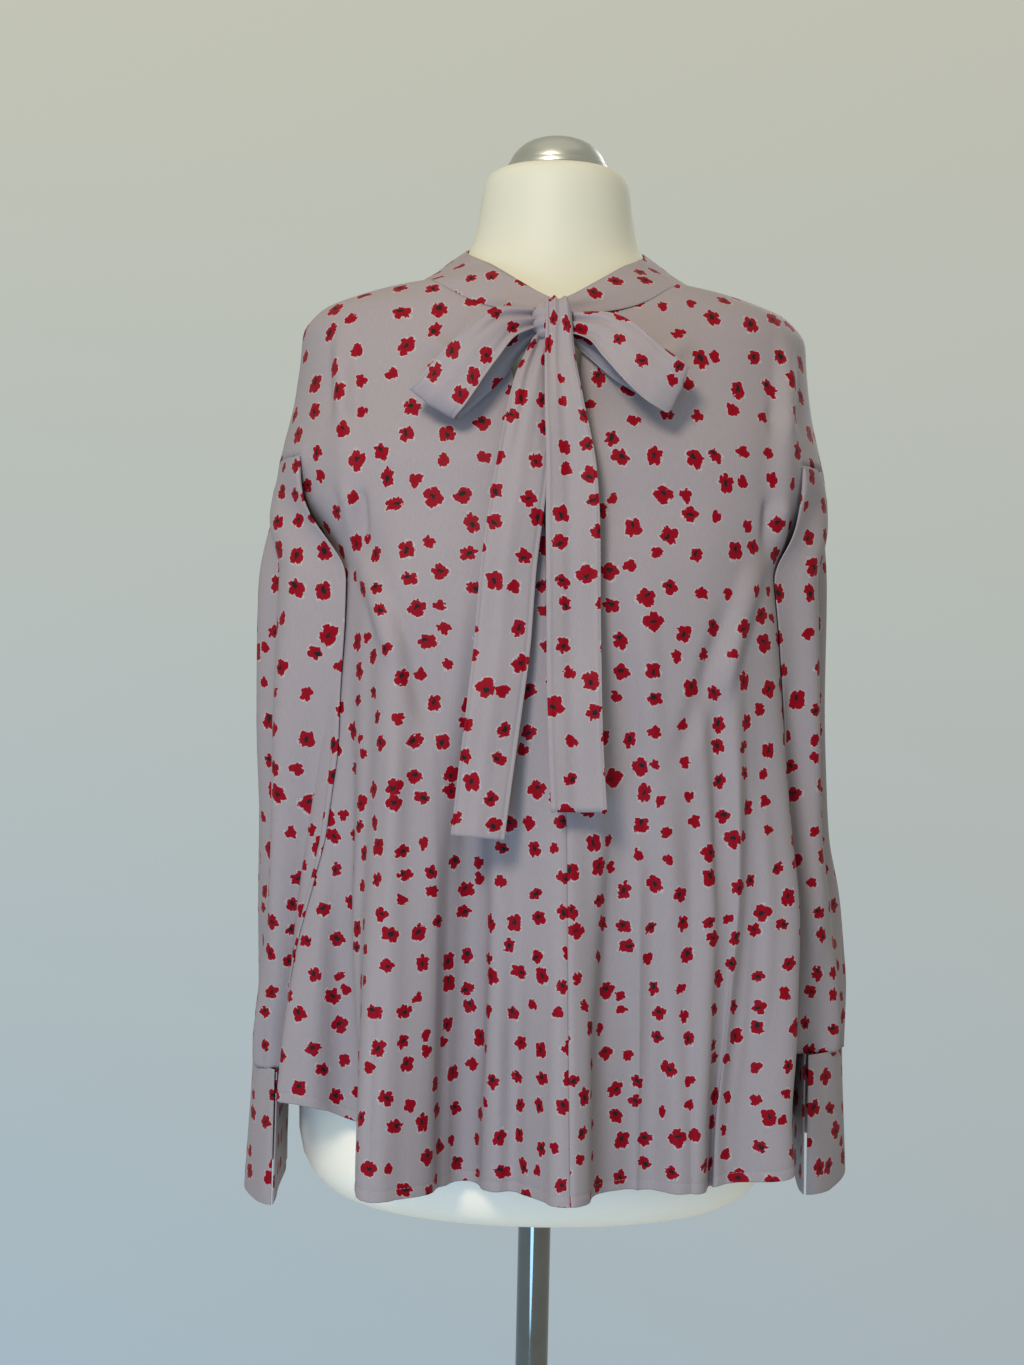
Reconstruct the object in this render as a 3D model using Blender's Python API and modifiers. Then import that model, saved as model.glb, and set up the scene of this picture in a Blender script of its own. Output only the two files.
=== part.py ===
"""Tie neck blouse worn by a limbless dress form on a pole. Metres, +Z up, front towards -Y."""

import math

import bmesh
import bpy
import numpy as np

for leftover in list(bpy.data.objects):
    bpy.data.objects.remove(leftover, do_unlink=True)

# Cloth wall and the gaps between pieces
WALL = 0.0012
SEAM_GAP = 0.0003
FORM_CLEARANCE = 0.0022

# Heights of the blouse
Z_ARMHOLE = 1.274
Z_UNDERARM = 1.205
Z_NECK_FRONT = 1.378
LOWER_BLEND = 0.085

# Lengths of cloth from centre to side, at the neck and below the arm
NECK_HALF_LENGTH = 0.23
PANEL_HALF_LENGTH = 0.30

# How the cloth is divided into columns and rows
COLUMNS_TO_ARM = 15
COLUMNS_PAST_ARM = 6
ROWS_ABOVE_ARMHOLE = 9
ROWS_BELOW_ARMHOLE = 13
ARM_SHARE = 0.68
SLEEVE_COLUMNS = 28
SLEEVE_ROWS = 13

# How square the ring of cloth is: 2 is an ellipse
UPPER_SQUARENESS = 2.4
LOWER_SQUARENESS = 3.1

# Dress form sections: height, half width, depth to the front, depth to the back
FORM_SECTIONS = (
    ("z", "half_width", "front", "back"),
    (0.712, 0.118, 0.068, 0.078),
    (0.716, 0.146, 0.088, 0.100),
    (0.727, 0.167, 0.100, 0.115),
    (0.746, 0.181, 0.108, 0.125),
    (0.785, 0.187, 0.112, 0.132),
    (0.860, 0.176, 0.108, 0.126),
    (0.950, 0.155, 0.102, 0.110),
    (1.040, 0.138, 0.097, 0.095),
    (1.120, 0.142, 0.107, 0.095),
    (1.200, 0.150, 0.130, 0.100),
    (1.250, 0.163, 0.138, 0.106),
    (1.300, 0.180, 0.122, 0.110),
    (1.345, 0.187, 0.103, 0.107),
    (1.370, 0.1865, 0.088, 0.101),
    (1.3880, 0.176, 0.077, 0.094),
    (1.3992, 0.154, 0.071, 0.087),
    (1.4062, 0.130, 0.068, 0.082),
    (1.4112, 0.105, 0.066, 0.078),
    (1.4210, 0.089, 0.063, 0.070),
    (1.432, 0.072, 0.061, 0.065),
    (1.445, 0.064, 0.059, 0.061),
    (1.470, 0.059, 0.0575, 0.058),
    (1.492, 0.0572, 0.0565, 0.0565),
    (1.5005, 0.053, 0.053, 0.053),
    (1.5045, 0.046, 0.046, 0.046),
)
FORM_SQUARENESS = 2.2
FORM_COLUMNS = 32

# Cloth above the armhole: the ring of cloth at each height
UPPER_CLOTH = (
    ("z", "half_width", "front", "back"),
    (1.274, 0.2065, 0.140, 0.124),
    (1.285, 0.2045, 0.136, 0.122),
    (1.320, 0.1965, 0.122, 0.118),
    (1.355, 0.1925, 0.109, 0.113),
    (1.372, 0.1915, 0.100, 0.107),
    (1.390, 0.179, 0.088, 0.098),
    (1.400, 0.157, 0.079, 0.091),
    (1.407, 0.133, 0.075, 0.086),
    (1.412, 0.108, 0.072, 0.083),
    (1.4215, 0.0935, 0.069, 0.078),
    (1.436, 0.079, 0.066, 0.072),
)

# Cloth below the armhole; right_more is added to the half width on the +X side
LOWER_CLOTH = (
    ("z", "half_width", "front", "back", "right_more"),
    (0.740, 0.193, 0.143, 0.158, 0.000),
    (0.800, 0.1915, 0.145, 0.155, 0.000),
    (0.850, 0.189, 0.146, 0.152, 0.003),
    (0.900, 0.184, 0.147, 0.149, 0.004),
    (0.950, 0.179, 0.148, 0.146, 0.006),
    (1.020, 0.172, 0.149, 0.141, 0.007),
    (1.100, 0.167, 0.150, 0.136, 0.009),
    (1.156, 0.161, 0.151, 0.133, 0.013),
    (1.205, 0.158, 0.148, 0.130, 0.014),
    (1.274, 0.162, 0.140, 0.124, 0.012),
)

# Neck seam height against the share of the way from centre to side
NECK_SEAM_FRONT = (
    ("share", "z"),
    (-0.20, 1.370),
    (0.00, 1.374),
    (0.19, 1.382),
    (0.43, 1.403),
    (0.63, 1.412),
    (1.00, 1.4215),
)
NECK_SEAM_BACK = (
    ("share", "z"),
    (0.00, 1.436),
    (0.40, 1.433),
    (0.70, 1.427),
    (1.00, 1.4215),
)

# Centre front line and the half width of the neck slit
CENTRE_FRONT = (
    ("z", "x", "slit_half"),
    (0.740, 0.021, 0.0),
    (0.896, 0.0165, 0.0),
    (1.019, 0.013, 0.0),
    (1.150, 0.000, 0.0),
    (1.205, -0.005, 0.0),
    (1.270, -0.006, 0.0110),
    (1.330, -0.007, 0.0235),
    (1.378, -0.009, 0.0290),
)

# Hem height against the share of the way round from centre front (0) to side (1) and centre back (2)
HEM_HEIGHT = (
    ("share", "right_side", "left_side"),
    (0.00, 0.757, 0.757),
    (0.40, 0.757, 0.757),
    (0.56, 0.760, 0.765),
    (0.68, 0.768, 0.798),
    (0.80, 0.780, 0.806),
    (1.00, 0.788, 0.802),
    (1.30, 0.774, 0.778),
    (2.00, 0.757, 0.757),
)

# Hanging folds: share from the centre, half width of the fold, how far it stands out at the
# hem, and the height where it starts
FOLDS_WEARERS_RIGHT = (
    ("share", "half_width", "out", "z_start"),
    (0.00, 0.13, 0.036, 1.18),
    (0.255, 0.11, -0.021, 1.22),
    (0.415, 0.095, 0.046, 1.26),
    (0.590, 0.08, -0.030, 1.20),
    (0.715, 0.06, 0.012, 1.10),
)
FOLDS_WEARERS_LEFT = (
    ("share", "half_width", "out", "z_start"),
    (0.00, 0.13, 0.036, 1.18),
    (0.190, 0.11, -0.022, 1.20),
    (0.340, 0.08, 0.010, 1.16),
    (0.460, 0.08, -0.016, 1.22),
    (0.630, 0.10, 0.032, 1.24),
    (0.790, 0.06, -0.010, 1.12),
)
FOLDS_BACK = (
    ("share", "half_width", "out", "z_start"),
    (-0.66, 0.10, 0.026, 1.20),
    (-0.47, 0.08, -0.014, 1.14),
    (-0.27, 0.10, 0.028, 1.24),
    (-0.07, 0.09, -0.012, 1.16),
    (0.13, 0.11, 0.032, 1.22),
    (0.34, 0.08, -0.014, 1.12),
    (0.56, 0.11, 0.030, 1.20),
    (0.76, 0.07, -0.008, 1.06),
)
FOLD_GROWTH = 1.25

# Sleeves: outer edge in X, front and back edge in Y
SLEEVE_RIGHT_SECTIONS = (
    ("z", "outer", "front", "back"),
    (0.820, 0.2165, -0.066, 0.052),
    (0.846, 0.2165, -0.072, 0.060),
    (0.877, 0.2135, -0.080, 0.072),
    (0.940, 0.2150, -0.090, 0.080),
    (1.000, 0.2165, -0.096, 0.084),
    (1.079, 0.2200, -0.100, 0.086),
    (1.153, 0.2215, -0.100, 0.088),
    (1.206, 0.2205, -0.096, 0.088),
    (1.240, 0.2175, -0.091, 0.086),
    (1.274, 0.2080, -0.086, 0.084),
)
SLEEVE_LEFT_SECTIONS = (
    ("z", "outer", "front", "back"),
    (0.840, 0.2335, -0.066, 0.056),
    (0.880, 0.2345, -0.070, 0.066),
    (0.913, 0.2320, -0.072, 0.074),
    (0.950, 0.2285, -0.074, 0.080),
    (1.000, 0.2195, -0.077, 0.085),
    (1.042, 0.2165, -0.080, 0.086),
    (1.104, 0.2135, -0.088, 0.088),
    (1.180, 0.2125, -0.094, 0.088),
    (1.250, 0.2105, -0.090, 0.086),
    (1.277, 0.2075, -0.086, 0.084),
)
SLEEVE_SQUARENESS = 2.3
SLEEVE_TAPER = 0.55
BESIDE_GAP = 0.0024
SLEEVE_OFF_ARMHOLE = 0.0040
SLEEVE_OFF_UNDERARM = 0.0024
SLEEVE_HEAD_SHARE = 0.22
ARM_HALF_DEPTH = 0.08
SLEEVE_MIDDLE = (0.2, 0.005)
SLEEVE_FOLDS = (
    ("share", "half_width", "out", "z_mid", "reach"),
    (0.06, 0.045, -0.0055, 1.13, 0.26),
    (0.13, 0.045, 0.0040, 1.02, 0.26),
    (0.19, 0.040, -0.0045, 0.92, 0.20),
    (0.90, 0.045, -0.0050, 1.10, 0.26),
    (0.96, 0.040, 0.0035, 0.94, 0.22),
    (0.83, 0.040, -0.0045, 0.90, 0.18),
    (0.10, 0.030, 0.0030, 0.86, 0.07),
    (0.01, 0.030, -0.0035, 0.86, 0.07),
)

# Cuffs
CUFF_RIGHT = {"top": 0.8232, "bottom": 0.7270, "outer": 0.2180, "front": -0.064, "back": 0.050}
CUFF_LEFT = {"top": 0.8425, "bottom": 0.7500, "outer": 0.2320, "front": -0.064, "back": 0.054}
CUFF_SQUARENESS = 2.6
CUFF_LEVEL = 0.800
CUFF_SLIT_SHARE = 0.275
CUFF_SLIT_HALF = 0.020
CUFF_FLARE = 0.0035
CUFF_COLUMNS = 26
CUFF_ROWS = 4

# Neck band: upper edge, as places from centre front to side and on to centre back
BAND_UPPER = (
    ("share", "x", "y", "z"),
    (0.00, 0.003, -0.1020, 1.3880),
    (0.12, 0.012, -0.0960, 1.3930),
    (0.30, 0.026, -0.0850, 1.4030),
    (0.55, 0.044, -0.0660, 1.4170),
    (0.80, 0.0585, -0.0380, 1.4300),
    (1.00, 0.0675, -0.0040, 1.4420),
    (1.35, 0.0600, 0.0340, 1.4520),
    (1.70, 0.0350, 0.0580, 1.4610),
    (2.00, 0.000, 0.0670, 1.4640),
)
BAND_GAP = 0.00066
BAND_GAP_FRONT = 0.0012
BAND_FRONT_SHARE = 0.4
BAND_BULGE = 0.0015
BAND_AT_KNOT = (0.004, -0.1104, 1.3700)
BAND_ROWS = 4
BAND_COLUMNS = 13

# Tie pieces: middle of the ribbon and half of its width as a vector
LOOP_RIGHT_RIBBON = (
    ("x", "y", "z", "wide_x", "wide_y", "wide_z"),
    (-0.0179, -0.1235, 1.3700, 0.0010, -0.0010, -0.0070),
    (-0.0350, -0.1350, 1.3650, 0.0060, -0.0020, -0.0110),
    (-0.0500, -0.1450, 1.3500, 0.0085, -0.0030, -0.0135),
    (-0.0660, -0.1500, 1.3300, 0.0115, -0.0030, -0.0135),
    (-0.0790, -0.1500, 1.3130, 0.0145, -0.0020, -0.0115),
    (-0.0865, -0.1440, 1.3045, 0.0160, 0.0000, -0.0095),
    (-0.0840, -0.1365, 1.3060, 0.0160, 0.0000, -0.0100),
    (-0.0700, -0.1330, 1.3190, 0.0145, 0.0010, -0.0120),
    (-0.0500, -0.1290, 1.3380, 0.0120, 0.0010, -0.0130),
    (-0.0330, -0.1220, 1.3550, 0.0080, 0.0010, -0.0110),
    (-0.0160, -0.1160, 1.3660, 0.0010, 0.0000, -0.0070),
)
LOOP_LEFT_RIBBON = (
    ("x", "y", "z", "wide_x", "wide_y", "wide_z"),
    (0.0089, -0.1240, 1.3670, 0.0000, -0.0020, -0.0075),
    (0.0270, -0.1350, 1.3630, -0.0050, -0.0040, -0.0110),
    (0.0420, -0.1450, 1.3520, -0.0090, -0.0050, -0.0140),
    (0.0580, -0.1520, 1.3360, -0.0100, -0.0050, -0.0150),
    (0.0720, -0.1530, 1.3240, -0.0090, -0.0030, -0.0160),
    (0.0850, -0.1470, 1.3170, -0.0070, 0.0000, -0.0165),
    (0.0850, -0.1385, 1.3190, -0.0070, 0.0010, -0.0165),
    (0.0720, -0.1340, 1.3290, -0.0090, 0.0010, -0.0160),
    (0.0530, -0.1300, 1.3410, -0.0110, 0.0010, -0.0150),
    (0.0320, -0.1230, 1.3540, -0.0080, 0.0010, -0.0120),
    (0.0074, -0.1165, 1.3660, 0.0000, 0.0000, -0.0070),
)
END_RIGHT_RIBBON = (
    ("x", "y", "z", "wide_x", "wide_y", "wide_z"),
    (-0.0090, -0.1220, 1.3549, 0.0095, 0.0010, 0.0000),
    (-0.0155, -0.1370, 1.3250, 0.0140, 0.0015, 0.0000),
    (-0.0195, -0.1480, 1.2850, 0.0175, 0.0015, -0.0010),
    (-0.0250, -0.1570, 1.2400, 0.0190, 0.0010, -0.0010),
    (-0.0305, -0.1620, 1.1900, 0.0193, 0.0010, -0.0010),
    (-0.0335, -0.1655, 1.1400, 0.0194, 0.0015, -0.0010),
    (-0.0385, -0.1700, 1.0900, 0.0190, 0.0015, -0.0015),
    (-0.0435, -0.1735, 1.0450, 0.0186, 0.0015, -0.0015),
    (-0.0475, -0.1765, 1.0060, 0.0182, 0.0015, -0.0015),
)
END_LEFT_RIBBON = (
    ("x", "y", "z", "wide_x", "wide_y", "wide_z"),
    (0.0000, -0.1150, 1.3834, 0.0075, 0.0000, 0.0000),
    (0.0000, -0.1240, 1.3836, 0.0080, 0.0000, 0.0000),
    (0.0005, -0.1305, 1.3790, 0.0088, 0.0000, 0.0000),
    (0.0010, -0.1325, 1.3680, 0.0092, 0.0000, 0.0000),
    (0.0020, -0.1370, 1.3450, 0.0105, 0.0000, 0.0000),
    (0.0055, -0.1490, 1.3100, 0.0135, 0.0005, 0.0000),
    (0.0115, -0.1580, 1.2600, 0.0175, 0.0010, 0.0000),
    (0.0135, -0.1640, 1.2100, 0.0188, 0.0010, 0.0000),
    (0.0150, -0.1690, 1.1500, 0.0187, 0.0010, 0.0000),
    (0.0170, -0.1750, 1.0900, 0.0187, 0.0000, 0.0000),
    (0.0210, -0.1800, 1.0250, 0.0189, 0.0000, 0.0005),
)
RIBBON_COLUMNS = 4
LOOP_ROWS = 24
END_ROWS = 18
END_CREASE = 0.0016
KNOT_SECTIONS = (
    ("z", "half_width", "half_depth", "y"),
    (1.3555, 0.0060, 0.0040, -0.1215),
    (1.3590, 0.0105, 0.0075, -0.1215),
    (1.3660, 0.0130, 0.0095, -0.1220),
    (1.3730, 0.0130, 0.0095, -0.1215),
    (1.3790, 0.0105, 0.0075, -0.1200),
    (1.3820, 0.0060, 0.0040, -0.1190),
)
KNOT_X = -0.0045
KNOT_COLUMNS = 16

# Stand
POLE_RADIUS = 0.0125
BASE_TOP = 0.0200
CAP_PROFILE = (
    ("radius", "z"),
    (0.0000, 1.5310),
    (0.0120, 1.5301),
    (0.0230, 1.5266),
    (0.0310, 1.5208),
    (0.0365, 1.5125),
    (0.0368, 1.5096),
    (0.0390, 1.5090),
    (0.0390, 1.5048),
    (0.0000, 1.5048),
)
BASE_PROFILE = (
    ("radius", "z"),
    (0.0000, BASE_TOP),
    (0.0300, BASE_TOP),
    (0.0320, 0.0140),
    (0.1450, 0.0090),
    (0.1550, 0.0070),
    (0.1580, 0.0035),
    (0.1550, 0.0000),
    (0.0000, 0.0000),
)
POLE_PROFILE = (
    ("radius", "z"),
    (0.0, FORM_SECTIONS[1][0] - SEAM_GAP),
    (POLE_RADIUS, FORM_SECTIONS[1][0] - SEAM_GAP),
    (POLE_RADIUS, BASE_TOP + SEAM_GAP),
    (0.0, BASE_TOP + SEAM_GAP),
)
TURNED_STEPS = 40


def columns_of(table):
    """The named columns of a table, as arrays, ordered by the first one."""
    names, rows = table[0], np.array(table[1:], float)
    return {name: rows[:, i] for i, name in enumerate(names)}


def smooth(values_at, values, at):
    """Cubic interpolation that doesn't overshoot between the rows of a table."""
    at = np.clip(at, values_at[0], values_at[-1])
    steps = np.diff(values_at)
    slopes = np.diff(values) / steps
    tangents = np.zeros(len(values))
    tangents[0], tangents[-1] = slopes[0], slopes[-1]
    same = slopes[:-1] * slopes[1:] > 0
    inner = np.zeros(len(values) - 2)
    inner[same] = 2 * slopes[:-1][same] * slopes[1:][same] / (slopes[:-1] + slopes[1:])[same]
    tangents[1:-1] = inner
    i = np.clip(np.searchsorted(values_at, at, side="right") - 1, 0, len(steps) - 1)
    t = (at - values_at[i]) / steps[i]
    first = (1 + 2 * t) * (1 - t) ** 2 * values[i] + t * (1 - t) ** 2 * steps[i] * tangents[i]
    second = t * t * (3 - 2 * t) * values[i + 1] - t * t * (1 - t) * steps[i] * tangents[i + 1]
    return float(first + second)


def look_up(table, name, at):
    """A named column of a table at a value of its first column."""
    columns = columns_of(table)
    first = columns[table[0][0]]
    order = np.argsort(first)
    return smooth(first[order], columns[name][order], at)


def ease(t):
    """Rises smoothly from 0 to 1."""
    t = min(max(t, 0.0), 1.0)
    return t * t * (3 - 2 * t)


def mix(a, b, share):
    return a + (b - a) * share


QUARTER_STEPS = np.linspace(0, math.pi / 2, 49)
QUARTER_SIN = np.sin(QUARTER_STEPS)
QUARTER_COS = np.cos(QUARTER_STEPS)


def quarter_arc(half_width, depth, squareness):
    """Places along a quarter of a rounded ring, and how far along each is."""
    x = half_width * QUARTER_SIN ** (2 / squareness)
    y = depth * np.abs(QUARTER_COS) ** (2 / squareness)
    along = np.concatenate([[0], np.cumsum(np.hypot(np.diff(x), np.diff(y)))])
    return x, y, along


def on_quarter(half_width, depth, squareness, share):
    """A place on the quarter ring, by its share of the length, and the outward direction there."""
    x, y, along = quarter_arc(half_width, depth, squareness)
    at = share * along[-1]
    px, py = np.interp(at, along, x), np.interp(at, along, y)
    step = 0.02 * along[-1]
    ahead, behind = min(at + step, along[-1]), max(at - step, 0)
    dx = np.interp(ahead, along, x) - np.interp(behind, along, x)
    dy = np.interp(ahead, along, y) - np.interp(behind, along, y)
    length = math.hypot(dx, dy)
    return px, py, -dy / length, dx / length


def form_ring(z):
    return [look_up(FORM_SECTIONS, name, z) for name in ("half_width", "front", "back")]


def clear_of_form(point, clearance):
    """The place, moved out where it is nearer to the form than the clearance."""
    x, y, z = point
    if z > FORM_SECTIONS[-1][0] or z < FORM_SECTIONS[1][0]:
        return point
    half_width, front, back = form_ring(z)
    depth = (front if y < 0 else back) + clearance
    reach = (abs(x) / (half_width + clearance)) ** FORM_SQUARENESS
    reach = (reach + (abs(y) / depth) ** FORM_SQUARENESS) ** (1 / FORM_SQUARENESS)
    if 1e-6 < reach < 1:
        return (x / reach, y / reach, z)
    return point


def lower_share(z):
    """0 on the cloth above the armhole, rising to 1 below the underarm."""
    return ease((Z_ARMHOLE - z) / LOWER_BLEND)


def cloth_ring(z, side, facing, lower):
    """Half width, depth and squareness of the cloth ring at a height. lower is the share of the
    lower shape."""
    wide = look_up(UPPER_CLOTH, "half_width", max(z, Z_ARMHOLE))
    deep = look_up(UPPER_CLOTH, facing, max(z, Z_ARMHOLE))
    if lower > 0:
        low_wide = look_up(LOWER_CLOTH, "half_width", z)
        if side > 0:
            low_wide += look_up(LOWER_CLOTH, "right_more", z)
        wide = mix(wide, low_wide, lower)
        deep = mix(deep, look_up(LOWER_CLOTH, facing, z), lower)
    return wide, deep, mix(UPPER_SQUARENESS, LOWER_SQUARENESS, lower)


def fold_out(folds, share, z, z_hem):
    """How far the hanging folds push the cloth out at this place."""
    total = 0.0
    for centre, half_width, out, z_start in folds[1:]:
        near = abs(share - centre) / half_width
        if near < 1 and z < z_start:
            grown = ((z_start - z) / (z_start - z_hem)) ** FOLD_GROWTH
            total += out * grown * (0.5 + 0.5 * math.cos(math.pi * near))
    return total


def hem_height(side, share_from_front):
    return look_up(HEM_HEIGHT, "left_side" if side < 0 else "right_side", share_from_front)


def front_place(side, share, z, lower=None):
    """A place on the inner face of a front. side is -1 or 1, share runs from centre front to side."""
    lower = lower_share(z) if lower is None else lower
    ring = cloth_ring(z, side, "front", lower)
    length = quarter_arc(*ring)[2][-1]
    centre = look_up(CENTRE_FRONT, "x", z)
    slit = look_up(CENTRE_FRONT, "slit_half", z) + SEAM_GAP / 2
    edge = (side * centre + slit) / length
    along = edge + share * (1 - edge)
    x, y, out_x, out_y = on_quarter(*ring, abs(along))
    if along < 0:
        x, out_x = -x, -out_x
    folds = FOLDS_WEARERS_RIGHT if side < 0 else FOLDS_WEARERS_LEFT
    out = fold_out(folds, share, z, hem_height(side, share))
    point = (side * (x + out * out_x), -(y + out * out_y), z)
    return clear_of_form(point, FORM_CLEARANCE)


def back_place(share, z, lower=None):
    """A place on the inner face of the back. share runs from -1 to 1, side to side."""
    side = -1 if share < 0 else 1
    lower = lower_share(z) if lower is None else lower
    ring = cloth_ring(z, side, "back", lower)
    x, y, out_x, out_y = on_quarter(*ring, abs(share))
    out = fold_out(FOLDS_BACK, share, z, hem_height(side, 2 - abs(share)))
    point = (side * (x + out * out_x), y + out * out_y, z)
    return clear_of_form(point, FORM_CLEARANCE)


def place_on(panel, share, z, lower=None):
    """panel is -1 or 1 for a front and 0 for the back."""
    if panel:
        return front_place(panel, share, z, lower)
    return back_place(share, z, lower)


def neck_height(panel, share):
    if not panel:
        return look_up(NECK_SEAM_BACK, "z", abs(share))
    centre = look_up(CENTRE_FRONT, "x", Z_NECK_FRONT) * panel
    edge = (centre + look_up(CENTRE_FRONT, "slit_half", Z_NECK_FRONT)) / NECK_HALF_LENGTH
    return look_up(NECK_SEAM_FRONT, "z", edge + share * (1 - edge))


def past_arm(share):
    """0 up to where the armhole meets the panel, 1 at the side."""
    return min(max((abs(share) - ARM_SHARE) / (1 - ARM_SHARE), 0.0), 1.0)


def underarm_height(share):
    """Height of the armhole seam on the part of a panel that runs under the arm."""
    return mix(Z_ARMHOLE, Z_UNDERARM, ease(past_arm(share)) * 0.65 + past_arm(share) * 0.35)


def upper_height(panel, share, row):
    """Height of a row above the armhole; rows gather where the shoulder slopes least."""
    top = neck_height(panel, share)
    along = (row / ROWS_ABOVE_ARMHOLE) ** (1 + 0.8 * abs(share))
    return mix(top, Z_ARMHOLE, along)


def panel_shares(panel):
    """Where the columns of a panel stand, as shares of the way from centre to side."""
    seam_share = SEAM_GAP / PANEL_HALF_LENGTH
    inner = [ARM_SHARE * i / COLUMNS_TO_ARM for i in range(COLUMNS_TO_ARM)]
    outer = [mix(ARM_SHARE, 1 - seam_share, i / COLUMNS_PAST_ARM) for i in range(COLUMNS_PAST_ARM + 1)]
    half = inner + outer
    return half if panel else [-share for share in reversed(half[1:])] + half


def material(name, colour, roughness, metallic=0.0, sheen=0.0):
    made = bpy.data.materials.new(name)
    made.use_nodes = True
    shader = made.node_tree.nodes["Principled BSDF"]
    shader.inputs["Base Color"].default_value = (*colour, 1)
    shader.inputs["Roughness"].default_value = roughness
    shader.inputs["Metallic"].default_value = metallic
    shader.inputs["Sheen Weight"].default_value = sheen
    made.diffuse_color = (*colour, 1)
    return made


blouse = bpy.data.collections.new("tie_neck_blouse_on_form")
bpy.context.scene.collection.children.link(blouse)
CLOTH_COLOUR = (0.46, 0.40, 0.43)
FORM_COLOUR = (0.80, 0.76, 0.66)
CHROME_COLOUR = (0.66, 0.67, 0.68)


def add_object(name, points, faces, colour, roughness, metallic=0.0, sheen=0.0):
    mesh = bpy.data.meshes.new(name)
    mesh.from_pydata([tuple(map(float, point)) for point in points], [], faces)
    mesh.materials.append(material(name, colour, roughness, metallic, sheen))
    for face in mesh.polygons:
        face.use_smooth = True
    obj = bpy.data.objects.new(name, mesh)
    blouse.objects.link(obj)
    return obj


def thicken(obj, outward=1.0):
    """Gives a sheet its wall. The wall grows along the faces' normals."""
    wall = obj.modifiers.new("wall", "SOLIDIFY")
    wall.thickness = WALL
    wall.offset = outward
    wall.use_even_offset = False
    return obj


def face_outward(obj, centre_of):
    """Turns every face of a sheet so that it looks away from the place that centre_of gives."""
    mesh = bmesh.new()
    mesh.from_mesh(obj.data)
    bmesh.ops.recalc_face_normals(mesh, faces=mesh.faces)
    vote = 0.0
    for face in mesh.faces:
        middle = face.calc_center_median()
        centre = centre_of(middle)
        vote += face.normal.x * (middle.x - centre[0]) + face.normal.y * (middle.y - centre[1])
    if vote < 0:
        bmesh.ops.reverse_faces(mesh, faces=mesh.faces)
    mesh.to_mesh(obj.data)
    mesh.free()


def cloth_sheet(name, points, faces, centre_of, outward=1.0):
    obj = add_object(name, points, faces, CLOTH_COLOUR, 0.55, 0.0, 0.3)
    face_outward(obj, centre_of)
    return thicken(obj, outward)


def body_panel(name, panel):
    """A front or the back: columns from the neck or armhole seam to the hem."""
    shares = panel_shares(panel)
    points, index = [], {}

    def add(key, point):
        index[key] = len(points)
        points.append(point)

    for c, share in enumerate(shares):
        side = panel or (-1 if share < 0 else 1)
        from_front = abs(share) if panel else 2 - abs(share)
        hem = hem_height(side, from_front)
        beyond = past_arm(share) > 1e-9
        for r in range(ROWS_ABOVE_ARMHOLE + 1):
            z = upper_height(panel, share, r)
            add((c, r), place_on(panel, share, z, 0.0))
        start = underarm_height(share)
        if beyond:
            add((c, "seam"), place_on(panel, share, start))
        else:
            index[(c, "seam")] = index[(c, ROWS_ABOVE_ARMHOLE)]
        for r in range(1, ROWS_BELOW_ARMHOLE + 1):
            z = mix(start, hem, r / ROWS_BELOW_ARMHOLE)
            add((c, -r), place_on(panel, share, z))
    faces = []
    for c in range(len(shares) - 1):
        for r in range(ROWS_ABOVE_ARMHOLE):
            faces.append([index[(c, r)], index[(c + 1, r)], index[(c + 1, r + 1)], index[(c, r + 1)]])
        above = "seam"
        for r in range(1, ROWS_BELOW_ARMHOLE + 1):
            faces.append([index[(c, above)], index[(c + 1, above)], index[(c + 1, -r)], index[(c, -r)]])
            above = -r
    return cloth_sheet(name, points, faces, lambda middle: (0.0, 0.0))


def armhole_loop(side):
    """The armhole seam in space: places and outward directions, from the outer arm through the
    front and underarm to the back."""
    places = []
    quarter = SLEEVE_COLUMNS // 4
    for j in range(SLEEVE_COLUMNS):
        part, step = divmod(j, quarter)
        t = step / quarter
        if part == 0:
            share, panel, under = mix(1.0, ARM_SHARE, t), side, False
        elif part == 1:
            share, panel, under = mix(ARM_SHARE, 1.0, t), side, True
        elif part == 2:
            share, panel, under = mix(1.0, ARM_SHARE, t), 0, True
        else:
            share, panel, under = mix(ARM_SHARE, 1.0, t), 0, False
        if not panel:
            share *= side
        z = underarm_height(share) if under else Z_ARMHOLE
        here = np.array(place_on(panel, share, z, None if under else 0.0))
        edge = 1 - min(abs(j - quarter), abs(j - 3 * quarter), 2) / 2
        places.append((here, under, edge))
    return places


def rounded(j, squareness):
    """Across and along a rounded section at the share j of the way round, from the outer side."""
    cos, sin = math.cos(2 * math.pi * j), math.sin(2 * math.pi * j)
    power = 2 / squareness
    return math.copysign(abs(cos) ** power, cos), math.copysign(abs(sin) ** power, sin)


def beside_body(side, y, z):
    """How far out a sleeve or cuff lies at least, beside the cloth of the body."""
    lower = mix(1.0, lower_share(z), min(abs(y) / ARM_HALF_DEPTH, 1.0) ** 2)
    wide, deep, squareness = cloth_ring(z, side, "front" if y < 0 else "back", lower)
    reach = (1 - min(abs(y) / (deep + WALL), 1.0) ** squareness) ** (1 / squareness)
    return (wide + WALL) * reach + BESIDE_GAP


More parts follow.
